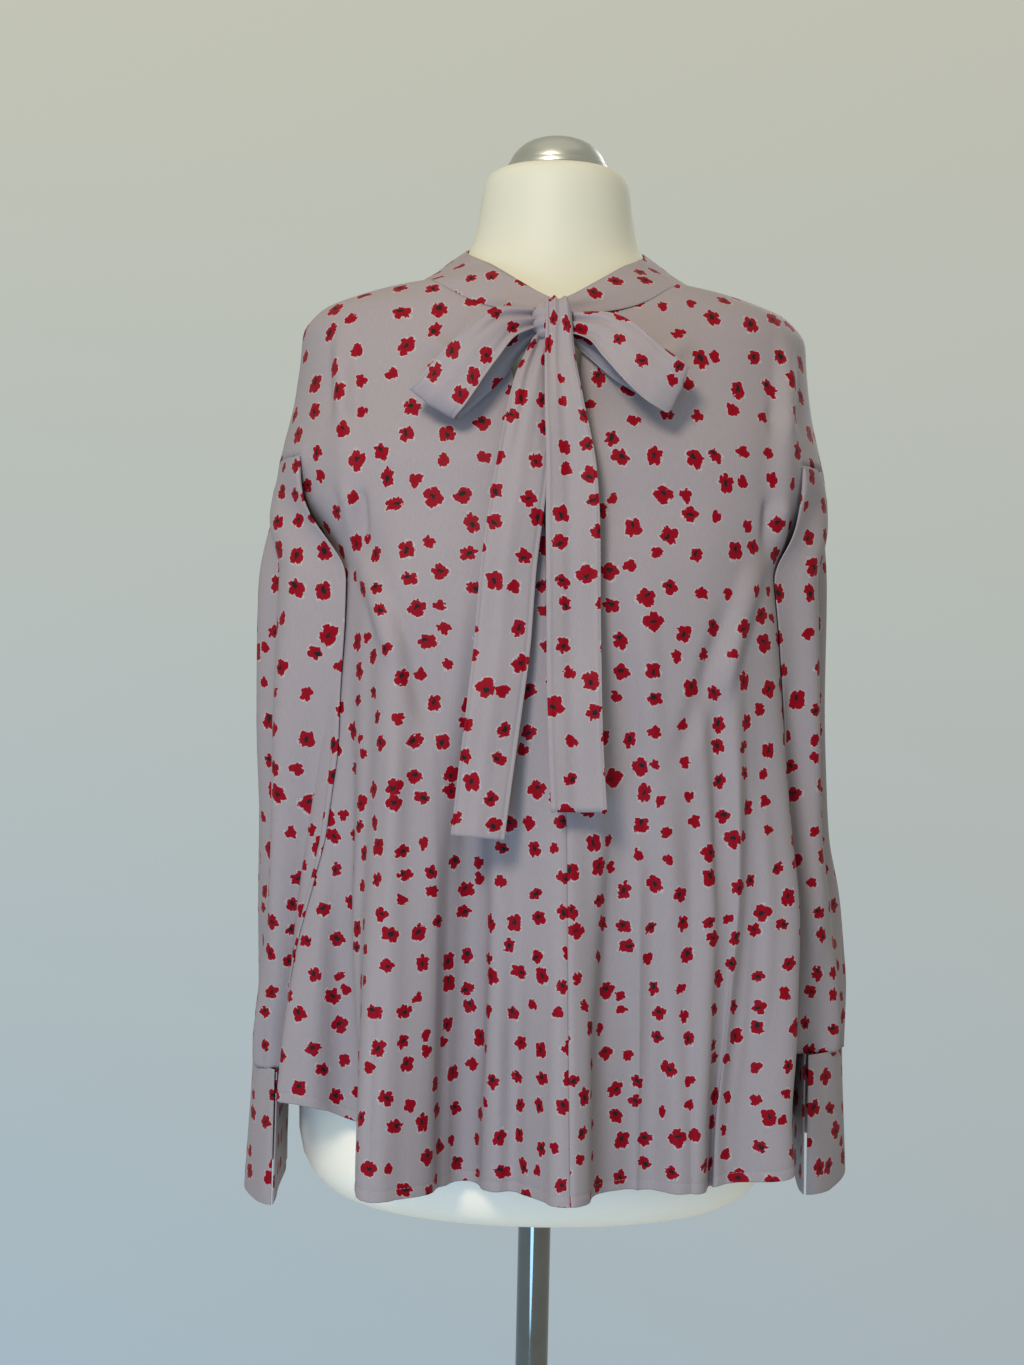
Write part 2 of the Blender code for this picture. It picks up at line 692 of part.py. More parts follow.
def sleeve_section(side, sections, j, z):
    """Plan place of a sleeve at a height: flattened against the side of the body."""
    outer = look_up(sections, "outer", z)
    front = look_up(sections, "front", z)
    back = look_up(sections, "back", z)
    across, along = rounded(j, SLEEVE_SQUARENESS)
    y = (front + back) / 2 - along * (back - front) / 2
    body = beside_body(side, y, z)
    depth = (outer - beside_body(side, 0.0, z)) * (1 - SLEEVE_TAPER * along * along)
    x = body + (1 + across) / 2 * depth
    out = 0.0
    for share, half_width, amount, z_mid, reach in SLEEVE_FOLDS[1:]:
        near = abs((j - share + 0.5) % 1 - 0.5) / half_width
        high = abs(z - z_mid) / reach
        if near < 1 and high < 1:
            out += amount * (0.5 + 0.5 * math.cos(math.pi * near)) * (1 - high * high)
    return side * (x + out * across), y - out * along


def sleeve(name, side, sections, z_cuff):
    """A tube of cloth from the armhole seam to the cuff. Its faces are the outer ones."""
    loop = armhole_loop(side)
    points = []
    for r in range(SLEEVE_ROWS + 1):
        t = r / SLEEVE_ROWS
        for j, (seam, under, edge) in enumerate(loop):
            outward = np.array([seam[0], seam[1] * 0.8, 0.0])
            outward /= np.linalg.norm(outward)
            off = mix(SLEEVE_OFF_UNDERARM if under else WALL, SLEEVE_OFF_ARMHOLE, edge)
            start = seam + outward * off
            start[2] -= SEAM_GAP * 1.5
            z = mix(start[2], z_cuff, t)
            x, y = sleeve_section(side, sections, j / SLEEVE_COLUMNS, z)
            share = ease(t / SLEEVE_HEAD_SHARE)
            points.append((mix(start[0], x, share), mix(start[1], y, share), z))
    faces = []
    for r in range(SLEEVE_ROWS):
        for j in range(SLEEVE_COLUMNS):
            k = (j + 1) % SLEEVE_COLUMNS
            low, high = (r + 1) * SLEEVE_COLUMNS, r * SLEEVE_COLUMNS
            faces.append([high + j, high + k, low + k, low + j])
    return cloth_sheet(name, points, faces, lambda here: (side * SLEEVE_MIDDLE[0], SLEEVE_MIDDLE[1]), -1.0)


def cuff(name, side, sizes):
    """An open band with a slit towards the front of the inner side."""
    points = []
    for r in range(CUFF_ROWS + 1):
        t = r / CUFF_ROWS
        z = mix(sizes["top"] - SEAM_GAP, sizes["bottom"], t)
        for c in range(CUFF_COLUMNS + 1):
            j = mix(CUFF_SLIT_SHARE + CUFF_SLIT_HALF, 1 + CUFF_SLIT_SHARE - CUFF_SLIT_HALF, c / CUFF_COLUMNS)
            across, along = rounded(j, CUFF_SQUARENESS)
            outer = sizes["outer"] + CUFF_FLARE * t
            y = (sizes["front"] + sizes["back"]) / 2 - along * (sizes["back"] - sizes["front"]) / 2
            inner = beside_body(side, y, CUFF_LEVEL)
            depth = (outer - beside_body(side, 0.0, CUFF_LEVEL)) * (1 - SLEEVE_TAPER * along * along)
            x = inner + (1 + across) / 2 * depth
            points.append((side * x, y, z))
    width = CUFF_COLUMNS + 1
    faces = [
        [r * width + c, r * width + c + 1, (r + 1) * width + c + 1, (r + 1) * width + c]
        for r in range(CUFF_ROWS)
        for c in range(CUFF_COLUMNS)
    ]
    return cloth_sheet(name, points, faces, lambda here: (side * (sizes["outer"] - 0.012), 0.0), -1.0)


def band_lower(side, share):
    """The neck seam under the band, from centre front (0) through the side (1) to the back (2)."""
    if share <= 1:
        centre = look_up(CENTRE_FRONT, "x", Z_NECK_FRONT) * side
        edge = (centre + look_up(CENTRE_FRONT, "slit_half", Z_NECK_FRONT)) / NECK_HALF_LENGTH
        along = (share - edge) / (1 - edge)
        if along >= 0:
            return np.array(place_on(side, along, neck_height(side, along), 0.0))
        first = np.array(place_on(side, 0.0, neck_height(side, 0.0), 0.0))
        knot = np.array(BAND_AT_KNOT) * (side, 1, 1)
        return mix(first, knot, ease(min(-along * (1 - edge) / edge, 1.0)))
    return np.array(place_on(0, side * (2 - share), neck_height(0, 2 - share), 0.0))


def neck_band():
    """The band, from the knot round the back of the neck to the knot again."""
    points = []
    shares = [2 * i / BAND_COLUMNS for i in range(BAND_COLUMNS + 1)]
    walk = [(-1, share) for share in shares] + [(1, share) for share in reversed(shares[:-1])]
    for side, share in walk:
        lower = band_lower(side, share)
        upper = np.array([look_up(BAND_UPPER, axis, share) for axis in ("x", "y", "z")])
        upper[0] *= side
        direction = (upper - lower) / np.linalg.norm(upper - lower)
        flat = np.array([lower[0], lower[1], 0.0])
        extra = BAND_GAP_FRONT * ease(1 - share / BAND_FRONT_SHARE)
        lower = lower + direction * (BAND_GAP + extra) + flat / np.linalg.norm(flat) * extra
        for r in range(BAND_ROWS + 1):
            point = mix(lower, upper, r / BAND_ROWS)
            bulge = BAND_BULGE * math.sin(math.pi * r / BAND_ROWS)
            flat = np.array([point[0], point[1], 0.0])
            point = point + bulge * flat / np.linalg.norm(flat)
            points.append(clear_of_form(tuple(point), FORM_CLEARANCE))
    width = BAND_ROWS + 1
    faces = [
        [i * width + r, (i + 1) * width + r, (i + 1) * width + r + 1, i * width + r + 1]
        for i in range(len(walk) - 1)
        for r in range(BAND_ROWS)
    ]
    return cloth_sheet("neck_band", points, faces, lambda here: (0.0, 0.0))


def ribbon(name, table, rows, crease=0.0):
    """A strip of the tie along its middle line, with a pressed crease down the middle."""
    columns = columns_of(table)
    length = len(table) - 1
    stations = np.arange(length, dtype=float)
    points = []
    for r in range(rows + 1):
        at = r / rows * (length - 1)
        middle = np.array([smooth(stations, columns[n], at) for n in ("x", "y", "z")])
        wide = np.array([smooth(stations, columns[n], at) for n in ("wide_x", "wide_y", "wide_z")])
        for c in range(RIBBON_COLUMNS + 1):
            across = 2 * c / RIBBON_COLUMNS - 1
            point = middle + wide * across
            point[1] -= crease * (1 - abs(across))
            points.append(tuple(point))
    width = RIBBON_COLUMNS + 1
    faces = [
        [r * width + c, r * width + c + 1, (r + 1) * width + c + 1, (r + 1) * width + c]
        for r in range(rows)
        for c in range(RIBBON_COLUMNS)
    ]
    obj = add_object(name, points, faces, CLOTH_COLOUR, 0.55, 0.0, 0.3)
    return thicken(obj, 0.0)


def closed_loft(name, rings, colour, roughness, metallic=0.0):
    """A solid through rings of equal point count, closed by a flat face at each end."""
    count = len(rings[0])
    points = [point for ring in rings for point in ring]
    faces = []
    for r in range(len(rings) - 1):
        for c in range(count):
            d = (c + 1) % count
            faces.append([r * count + c, r * count + d, (r + 1) * count + d, (r + 1) * count + c])
    faces.append(list(reversed(range(count))))
    faces.append([(len(rings) - 1) * count + c for c in range(count)])
    return add_object(name, points, faces, colour, roughness, metallic)


def form_torso():
    rings = []
    for z, half_width, front, back in FORM_SECTIONS[1:]:
        ring = []
        for c in range(FORM_COLUMNS):
            angle = 2 * math.pi * c / FORM_COLUMNS
            cos, sin = math.cos(angle), math.sin(angle)
            power = 2 / FORM_SQUARENESS
            x = half_width * math.copysign(abs(cos) ** power, cos)
            depth = back if sin > 0 else front
            ring.append((x, depth * math.copysign(abs(sin) ** power, sin), z))
        rings.append(ring)
    return closed_loft("form_torso", rings, FORM_COLOUR, 0.5)


def tie_knot():
    rings = []
    for z, half_width, half_depth, y in KNOT_SECTIONS[1:]:
        ring = []
        for c in range(KNOT_COLUMNS):
            angle = 2 * math.pi * c / KNOT_COLUMNS
            ring.append((KNOT_X + half_width * math.cos(angle), y + half_depth * math.sin(angle), z))
        rings.append(ring)
    return closed_loft("tie_knot", rings, CLOTH_COLOUR, 0.55)


def turned(name, profile, colour, roughness, metallic):
    """A turned piece from its profile."""
    points = [(radius, 0.0, z) for radius, z in profile[1:]]
    edges = [(i, i + 1) for i in range(len(points) - 1)]
    mesh = bpy.data.meshes.new(name)
    mesh.from_pydata(points, edges, [])
    mesh.materials.append(material(name, colour, roughness, metallic))
    obj = bpy.data.objects.new(name, mesh)
    blouse.objects.link(obj)
    screw = obj.modifiers.new("turn", "SCREW")
    screw.steps = TURNED_STEPS
    screw.render_steps = TURNED_STEPS
    screw.use_merge_vertices = True
    screw.merge_threshold = 0.00005
    screw.use_smooth_shade = True
    return obj


body_panel("front_left", 1)
body_panel("front_right", -1)
body_panel("back", 0)
sleeve("sleeve_left", 1, SLEEVE_LEFT_SECTIONS, CUFF_LEFT["top"])
sleeve("sleeve_right", -1, SLEEVE_RIGHT_SECTIONS, CUFF_RIGHT["top"])
cuff("cuff_left", 1, CUFF_LEFT)
cuff("cuff_right", -1, CUFF_RIGHT)
neck_band()
tie_knot()
ribbon("bow_loop_left", LOOP_LEFT_RIBBON, LOOP_ROWS)
ribbon("bow_loop_right", LOOP_RIGHT_RIBBON, LOOP_ROWS)
ribbon("tie_end_left", END_LEFT_RIBBON, END_ROWS, END_CREASE)
ribbon("tie_end_right", END_RIGHT_RIBBON, END_ROWS, END_CREASE)
form_torso()
turned("form_neck_cap", CAP_PROFILE, CHROME_COLOUR, 0.12, 1.0)
turned("form_pole", POLE_PROFILE, CHROME_COLOUR, 0.12, 1.0)
turned("form_base", BASE_PROFILE, CHROME_COLOUR, 0.15, 1.0)
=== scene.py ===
"""Tie neck blouse on a dress form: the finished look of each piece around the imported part."""

import math

import bmesh
import bpy
import numpy as np
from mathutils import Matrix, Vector
from mathutils.bvhtree import BVHTree


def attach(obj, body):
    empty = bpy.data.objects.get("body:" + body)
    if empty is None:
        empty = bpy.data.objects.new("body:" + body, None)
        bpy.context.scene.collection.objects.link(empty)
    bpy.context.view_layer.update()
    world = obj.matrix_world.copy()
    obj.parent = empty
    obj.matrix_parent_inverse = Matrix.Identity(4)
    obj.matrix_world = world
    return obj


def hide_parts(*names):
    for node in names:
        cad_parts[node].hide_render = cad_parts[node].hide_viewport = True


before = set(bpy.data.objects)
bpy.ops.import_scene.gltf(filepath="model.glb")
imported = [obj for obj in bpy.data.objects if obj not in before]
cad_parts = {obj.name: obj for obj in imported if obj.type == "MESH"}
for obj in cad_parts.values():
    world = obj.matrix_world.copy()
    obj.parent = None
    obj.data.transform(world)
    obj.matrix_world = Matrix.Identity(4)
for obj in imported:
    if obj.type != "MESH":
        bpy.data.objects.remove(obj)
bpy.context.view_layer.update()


# Fronts and back
# Three panels of thin, smooth viscose crepe, mauve grey with a scattered red flower print. They are
# seamed at the sides and shoulders and down the centre front below a neck slit, flared, and narrowly
# hemmed, so that they hang in soft folds.
CLOTH_WALL = 0.0012
SHELL = 0.00055
FORM_CLEARANCE = 0.0022
Z_ARMHOLE = 1.274
Z_UNDERARM = 1.205
Z_NECK_FRONT = 1.378
LOWER_BLEND = 0.085
NECK_HALF_LENGTH = 0.23
ARM_SHARE = 0.68
COLUMNS_TO_ARM = 66
COLUMNS_PAST_ARM = 26
ROWS_ABOVE_ARMHOLE = 36
ROWS_BELOW_ARMHOLE = 120
UPPER_SQUARENESS = 2.4
LOWER_SQUARENESS = 3.1
FORM_SQUARENESS = 2.2
FOLD_GROWTH = 1.25
HEM_DEPTH = 0.0070
CREASE_DEPTH = 1.8

FORM_SECTIONS = (
    ("z", "half_width", "front", "back"),
    (0.712, 0.118, 0.068, 0.078),
    (0.716, 0.146, 0.088, 0.100),
    (0.727, 0.167, 0.100, 0.115),
    (0.746, 0.181, 0.108, 0.125),
    (0.785, 0.187, 0.112, 0.132),
    (0.860, 0.176, 0.108, 0.126),
    (0.950, 0.155, 0.102, 0.110),
    (1.040, 0.138, 0.097, 0.095),
    (1.120, 0.142, 0.107, 0.095),
    (1.200, 0.150, 0.130, 0.100),
    (1.250, 0.163, 0.138, 0.106),
    (1.300, 0.180, 0.122, 0.110),
    (1.345, 0.187, 0.103, 0.107),
    (1.370, 0.1865, 0.088, 0.101),
    (1.3880, 0.176, 0.077, 0.094),
    (1.3992, 0.154, 0.071, 0.087),
    (1.4062, 0.130, 0.068, 0.082),
    (1.4112, 0.105, 0.066, 0.078),
    (1.4210, 0.089, 0.063, 0.070),
    (1.432, 0.072, 0.061, 0.065),
    (1.445, 0.064, 0.059, 0.061),
    (1.470, 0.059, 0.0575, 0.058),
    (1.492, 0.0572, 0.0565, 0.0565),
    (1.5005, 0.053, 0.053, 0.053),
    (1.5045, 0.046, 0.046, 0.046),
)
UPPER_CLOTH = (
    ("z", "half_width", "front", "back"),
    (1.274, 0.2065, 0.140, 0.124),
    (1.285, 0.2045, 0.136, 0.122),
    (1.320, 0.1965, 0.122, 0.118),
    (1.355, 0.1925, 0.109, 0.113),
    (1.372, 0.1915, 0.100, 0.107),
    (1.390, 0.179, 0.088, 0.098),
    (1.400, 0.157, 0.079, 0.091),
    (1.407, 0.133, 0.075, 0.086),
    (1.412, 0.108, 0.072, 0.083),
    (1.4215, 0.0935, 0.069, 0.078),
    (1.436, 0.079, 0.066, 0.072),
)
LOWER_CLOTH = (
    ("z", "half_width", "front", "back", "right_more"),
    (0.740, 0.193, 0.143, 0.158, 0.000),
    (0.800, 0.1915, 0.145, 0.155, 0.000),
    (0.850, 0.189, 0.146, 0.152, 0.003),
    (0.900, 0.184, 0.147, 0.149, 0.004),
    (0.950, 0.179, 0.148, 0.146, 0.006),
    (1.020, 0.172, 0.149, 0.141, 0.007),
    (1.100, 0.167, 0.150, 0.136, 0.009),
    (1.156, 0.161, 0.151, 0.133, 0.013),
    (1.205, 0.158, 0.148, 0.130, 0.014),
    (1.274, 0.162, 0.140, 0.124, 0.012),
)
NECK_SEAM_FRONT = (
    ("share", "z"),
    (-0.20, 1.370),
    (0.00, 1.374),
    (0.19, 1.382),
    (0.43, 1.403),
    (0.63, 1.412),
    (1.00, 1.4215),
)
NECK_SEAM_BACK = (("share", "z"), (0.00, 1.436), (0.40, 1.433), (0.70, 1.427), (1.00, 1.4215))
CENTRE_FRONT = (
    ("z", "x", "slit_half"),
    (0.740, 0.021, 0.0),
    (0.896, 0.0165, 0.0),
    (1.019, 0.013, 0.0),
    (1.150, 0.000, 0.0),
    (1.205, -0.005, 0.0),
    (1.270, -0.006, 0.0110),
    (1.330, -0.007, 0.0235),
    (1.378, -0.009, 0.0290),
)
HEM_HEIGHT = (
    ("share", "right_side", "left_side"),
    (0.00, 0.757, 0.757),
    (0.30, 0.757, 0.756),
    (0.44, 0.757, 0.757),
    (0.48, 0.758, 0.768),
    (0.52, 0.759, 0.787),
    (0.60, 0.762, 0.792),
    (0.64, 0.765, 0.802),
    (0.68, 0.768, 0.805),
    (0.80, 0.780, 0.806),
    (1.00, 0.788, 0.802),
    (1.30, 0.774, 0.778),
    (2.00, 0.757, 0.757),
)
# Hanging folds: share from centre to side, half width, how far out at the hem, where they start
FOLDS_WEARERS_RIGHT = (
    ("share", "half_width", "out", "z_start"),
    (0.00, 0.13, 0.036, 1.18),
    (0.255, 0.11, -0.021, 1.22),
    (0.415, 0.095, 0.046, 1.26),
    (0.590, 0.08, -0.030, 1.20),
    (0.715, 0.06, 0.012, 1.10),
)
FOLDS_WEARERS_LEFT = (
    ("share", "half_width", "out", "z_start"),
    (0.00, 0.13, 0.036, 1.18),
    (0.190, 0.11, -0.022, 1.20),
    (0.340, 0.08, 0.010, 1.16),
    (0.460, 0.08, -0.016, 1.22),
    (0.630, 0.10, 0.032, 1.24),
    (0.790, 0.06, -0.010, 1.12),
)
FOLDS_BACK = (
    ("share", "half_width", "out", "z_start"),
    (-0.66, 0.10, 0.026, 1.20),
    (-0.47, 0.08, -0.014, 1.14),
    (-0.27, 0.10, 0.028, 1.24),
    (-0.07, 0.09, -0.012, 1.16),
    (0.13, 0.11, 0.032, 1.22),
    (0.34, 0.08, -0.014, 1.12),
    (0.56, 0.11, 0.030, 1.20),
    (0.76, 0.07, -0.008, 1.06),
)
# Creases: soft troughs (out below 0) and ridges, from one place to another as seen from the front
CREASES_FRONT = (
    ("x0", "z0", "x1", "z1", "half_width", "out"),
    (-0.158, 1.385, -0.140, 1.200, 0.011, 0.0040),
    (-0.147, 1.330, -0.132, 1.190, 0.008, -0.0030),
    (-0.140, 1.215, -0.098, 1.110, 0.012, 0.0030),
    (-0.120, 1.190, -0.075, 1.060, 0.012, -0.0022),
    (0.172, 1.385, 0.160, 1.190, 0.011, 0.0040),
    (0.160, 1.330, 0.152, 1.200, 0.008, -0.0030),
    (0.150, 1.215, 0.112, 1.090, 0.012, 0.0030),
    (0.128, 1.180, 0.085, 1.040, 0.012, -0.0020),
    (-0.060, 1.200, -0.070, 0.960, 0.012, 0.0022),
    (0.060, 1.200, 0.085, 0.950, 0.013, 0.0020),
    (-0.030, 1.180, -0.022, 0.950, 0.010, -0.0018),
    (0.110, 1.150, 0.128, 0.930, 0.010, -0.0020),
    (-0.105, 1.100, -0.112, 0.880, 0.009, 0.0018),
    (0.034, 1.050, 0.040, 0.850, 0.009, 0.0016),
    (0.150, 1.060, 0.170, 0.830, 0.009, 0.0020),
    (-0.040, 1.010, -0.045, 0.800, 0.008, -0.0014),
    (0.090, 0.980, 0.100, 0.800, 0.009, -0.0016),
    (-0.100, 1.362, -0.055, 1.330, 0.010, 0.0016),
    (0.100, 1.362, 0.050, 1.325, 0.010, 0.0016),
    (-0.078, 1.170, -0.089, 0.560, 0.016, 0.0055),
    (-0.050, 1.140, -0.054, 0.560, 0.015, -0.0055),
    (-0.110, 1.080, -0.119, 0.560, 0.012, -0.0034),
    (-0.152, 1.040, -0.140, 0.600, 0.014, -0.0034),
    (0.098, 1.120, 0.117, 0.560, 0.016, -0.0050),
    (0.126, 1.190, 0.145, 0.560, 0.012, 0.0055),
    (0.062, 1.080, 0.074, 0.560, 0.013, 0.0045),
    (0.041, 1.020, 0.048, 0.560, 0.013, -0.0045),
    (0.012, 0.980, 0.016, 0.560, 0.010, 0.0030),
    (-0.020, 0.960, -0.022, 0.560, 0.011, -0.0030),
)
CREASES_BACK = (
    ("x0", "z0", "x1", "z1", "half_width", "out"),
    (-0.150, 1.385, -0.138, 1.190, 0.011, 0.0038),
    (0.150, 1.385, 0.142, 1.195, 0.011, 0.0036),
    (-0.138, 1.330, -0.118, 1.150, 0.009, -0.0026),
    (0.136, 1.320, 0.120, 1.160, 0.009, -0.0028),
    (-0.090, 1.250, -0.060, 1.020, 0.013, 0.0024),
    (0.080, 1.260, 0.058, 1.010, 0.013, 0.0022),
    (-0.020, 1.270, -0.012, 1.040, 0.012, -0.0016),
    (0.030, 1.200, 0.034, 0.930, 0.011, 0.0018),
    (-0.120, 1.120, -0.126, 0.880, 0.010, 0.0018),
    (0.118, 1.110, 0.130, 0.860, 0.010, -0.0020),
    (-0.045, 1.020, -0.050, 0.820, 0.009, -0.0016),
)


def smooth(values_at, values, at):
    """Cubic interpolation that doesn't overshoot between the rows of a table."""
    at = np.clip(at, values_at[0], values_at[-1])
    steps = np.diff(values_at)
    slopes = np.diff(values) / steps
    tangents = np.zeros(len(values))
    tangents[0], tangents[-1] = slopes[0], slopes[-1]
    same = slopes[:-1] * slopes[1:] > 0
    inner = np.zeros(len(values) - 2)
    inner[same] = 2 * slopes[:-1][same] * slopes[1:][same] / (slopes[:-1] + slopes[1:])[same]
    tangents[1:-1] = inner
    i = np.clip(np.searchsorted(values_at, at, side="right") - 1, 0, len(steps) - 1)
    t = (at - values_at[i]) / steps[i]
    first = (1 + 2 * t) * (1 - t) ** 2 * values[i] + t * (1 - t) ** 2 * steps[i] * tangents[i]
    second = t * t * (3 - 2 * t) * values[i + 1] - t * t * (1 - t) * steps[i] * tangents[i + 1]
    return first + second


def look_up(table, name, at):
    """A named column of a table at values of its first column."""
    rows = np.array(table[1:], float)
    rows = rows[np.argsort(rows[:, 0])]
    return smooth(rows[:, 0], rows[:, table[0].index(name)], np.asarray(at, float))


def ease(t):
    t = np.clip(t, 0.0, 1.0)
    return t * t * (3 - 2 * t)


def mix(a, b, share):
    return a + (b - a) * share


QUARTER = np.linspace(0, math.pi / 2, 121)


def on_quarter(wide, deep, squareness, share_of, length_share):
    """Places by arc length on the quarter rings of cloth, and the outward directions there.
    share_of turns the ring's length into the share of the way round."""
    power = (2 / squareness)[:, None]
    x = wide[:, None] * np.sin(QUARTER)[None, :] ** power
    y = deep[:, None] * np.abs(np.cos(QUARTER))[None, :] ** power
    steps = np.hypot(np.diff(x, axis=1), np.diff(y, axis=1))
    along = np.concatenate([np.zeros((len(wide), 1)), np.cumsum(steps, axis=1)], axis=1)
    total = along[:, -1]
    share = share_of(total) if share_of else length_share
    rows = np.arange(len(wide))

    def at(target):
        i = np.clip((along <= target[:, None]).sum(axis=1) - 1, 0, len(QUARTER) - 2)
        t = (target - along[rows, i]) / (along[rows, i + 1] - along[rows, i])
        return mix(x[rows, i], x[rows, i + 1], t), mix(y[rows, i], y[rows, i + 1], t)

    target = np.abs(share) * total
    px, py = at(target)
    ahead = at(np.minimum(target + 0.02 * total, total))
    behind = at(np.maximum(target - 0.02 * total, 0))
    dx, dy = ahead[0] - behind[0], ahead[1] - behind[1]
    length = np.hypot(dx, dy)
    turn = np.where(share < 0, -1.0, 1.0)
    return px * turn, py, -dy / length * turn, dx / length


def clear_of_form(points, clearance):
    """The places, moved out where they are nearer to the form than the clearance."""
    x, y, z = points.T
    inside = (z <= FORM_SECTIONS[-1][0]) & (z >= FORM_SECTIONS[1][0])
    half_width = look_up(FORM_SECTIONS, "half_width", z) + clearance
    depth = np.where(y < 0, look_up(FORM_SECTIONS, "front", z), look_up(FORM_SECTIONS, "back", z))
    reach = (np.abs(x) / half_width) ** FORM_SQUARENESS
    reach = (reach + (np.abs(y) / (depth + clearance)) ** FORM_SQUARENESS) ** (1 / FORM_SQUARENESS)
    grow = np.where(inside & (reach > 1e-6) & (reach < 1), 1 / np.maximum(reach, 1e-6), 1.0)
    return np.stack([x * grow, y * grow, z], axis=1)


def lower_share(z):
    return ease((Z_ARMHOLE - z) / LOWER_BLEND)


def cloth_ring(z, side, facing, lower):
    """Half width, depth and squareness of the cloth ring at each height."""
    high = np.maximum(z, Z_ARMHOLE)
    low_wide = look_up(LOWER_CLOTH, "half_width", z)
    low_wide = low_wide + np.where(side > 0, look_up(LOWER_CLOTH, "right_more", z), 0.0)
    wide = mix(look_up(UPPER_CLOTH, "half_width", high), low_wide, lower)
    deep = mix(look_up(UPPER_CLOTH, facing, high), look_up(LOWER_CLOTH, facing, z), lower)
    return wide, deep, mix(UPPER_SQUARENESS, LOWER_SQUARENESS, lower)


def fold_out(folds, share, z, z_hem):
    total = np.zeros(len(z))
    for centre, half_width, out, z_start in folds[1:]:
        near = np.abs(share - centre) / half_width
        grown = np.clip((z_start - z) / (z_start - z_hem), 0, None) ** FOLD_GROWTH
        total += np.where(near < 1, out * grown * (0.5 + 0.5 * np.cos(math.pi * near)), 0.0)
    return total


def hem_height(side, share_from_front):
    left = look_up(HEM_HEIGHT, "left_side", share_from_front)
    return np.where(side < 0, left, look_up(HEM_HEIGHT, "right_side", share_from_front))


def place_on(panel, share, z, lower):
    """Places on the inner face of a panel. panel is -1 or 1 for a front and 0 for the back."""
    share, z, lower = (np.asarray(a, float) * np.ones(np.broadcast(share, z, lower).shape)
                       for a in (share, z, lower))
    if panel:
        side = np.full(len(z), float(panel))
        ring = cloth_ring(z, side, "front", lower)
        centre = look_up(CENTRE_FRONT, "x", z) * panel
        slit = look_up(CENTRE_FRONT, "slit_half", z)

        def share_of(length):
            edge = (centre + slit) / length
            return edge + share * (1 - edge)

        x, y, out_x, out_y = on_quarter(*ring, share_of, None)
        folds = FOLDS_WEARERS_RIGHT if panel < 0 else FOLDS_WEARERS_LEFT
        out = fold_out(folds, share, z, hem_height(side, share))
        points = np.stack([side * (x + out * out_x), -(y + out * out_y), z], axis=1)
    else:
        side = np.where(share < 0, -1.0, 1.0)
        ring = cloth_ring(z, side, "back", lower)
        x, y, out_x, out_y = on_quarter(*ring, None, np.abs(share))
        out = fold_out(FOLDS_BACK, share, z, hem_height(side, 2 - np.abs(share)))
        points = np.stack([side * (x + out * out_x), y + out * out_y, z], axis=1)
    return clear_of_form(points, FORM_CLEARANCE)


def neck_height(panel, share):
    if not panel:
        return look_up(NECK_SEAM_BACK, "z", np.abs(share))
    centre = look_up(CENTRE_FRONT, "x", Z_NECK_FRONT) * panel
    edge = (centre + look_up(CENTRE_FRONT, "slit_half", Z_NECK_FRONT)) / NECK_HALF_LENGTH
    return look_up(NECK_SEAM_FRONT, "z", edge + share * (1 - edge))


def underarm_height(share):
    past = np.clip((np.abs(share) - ARM_SHARE) / (1 - ARM_SHARE), 0, 1)
    return mix(Z_ARMHOLE, Z_UNDERARM, ease(past) * 0.65 + past * 0.35)


def crease_out(creases, across, up):
    """How far the creases move the cloth in or out at each place."""
    total = np.zeros(len(up))
    for x0, z0, x1, z1, half_width, out in creases[1:]:
        dx, dz = x1 - x0, z1 - z0
        length = math.hypot(dx, dz)
        t = ((across - x0) * dx + (up - z0) * dz) / length ** 2
        off = np.abs((across - x0) * dz - (up - z0) * dx) / length / half_width
        ends = ease(t / 0.3) * ease((1 - t) / 0.3)
        total += np.where(off < 1, out * ends * (1 - off ** 2) ** 2, 0.0)
    return total


def slight_waves(u, v, size):
    """The small unevenness of soft cloth: long lengthwise waves of a fraction of a millimetre."""
    waves = np.sin(u * 61 + 1.7 * np.sin(v * 9.0) + 0.4) * 0.45
    waves += np.sin(u * 113 + 2.3 * np.sin(v * 14.0 + 1.0) + 2.0) * 0.30
    waves += np.sin(u * 37 - v * 31 + 1.3) * 0.25
    return waves * size


def grid_normals(grid, closed=False):
    """Outward-or-inward directions of a grid of places, by differences along rows and columns."""
    if closed:
        across = np.roll(grid, -1, axis=1) - np.roll(grid, 1, axis=1)
    else:
        across = np.gradient(grid, axis=1)
    up = np.gradient(grid, axis=0)
    normal = np.cross(across, up)
    length = np.linalg.norm(normal, axis=2, keepdims=True)
    return normal / np.maximum(length, 1e-12)


def deselect_all():
    bpy.ops.object.select_all(action="DESELECT")


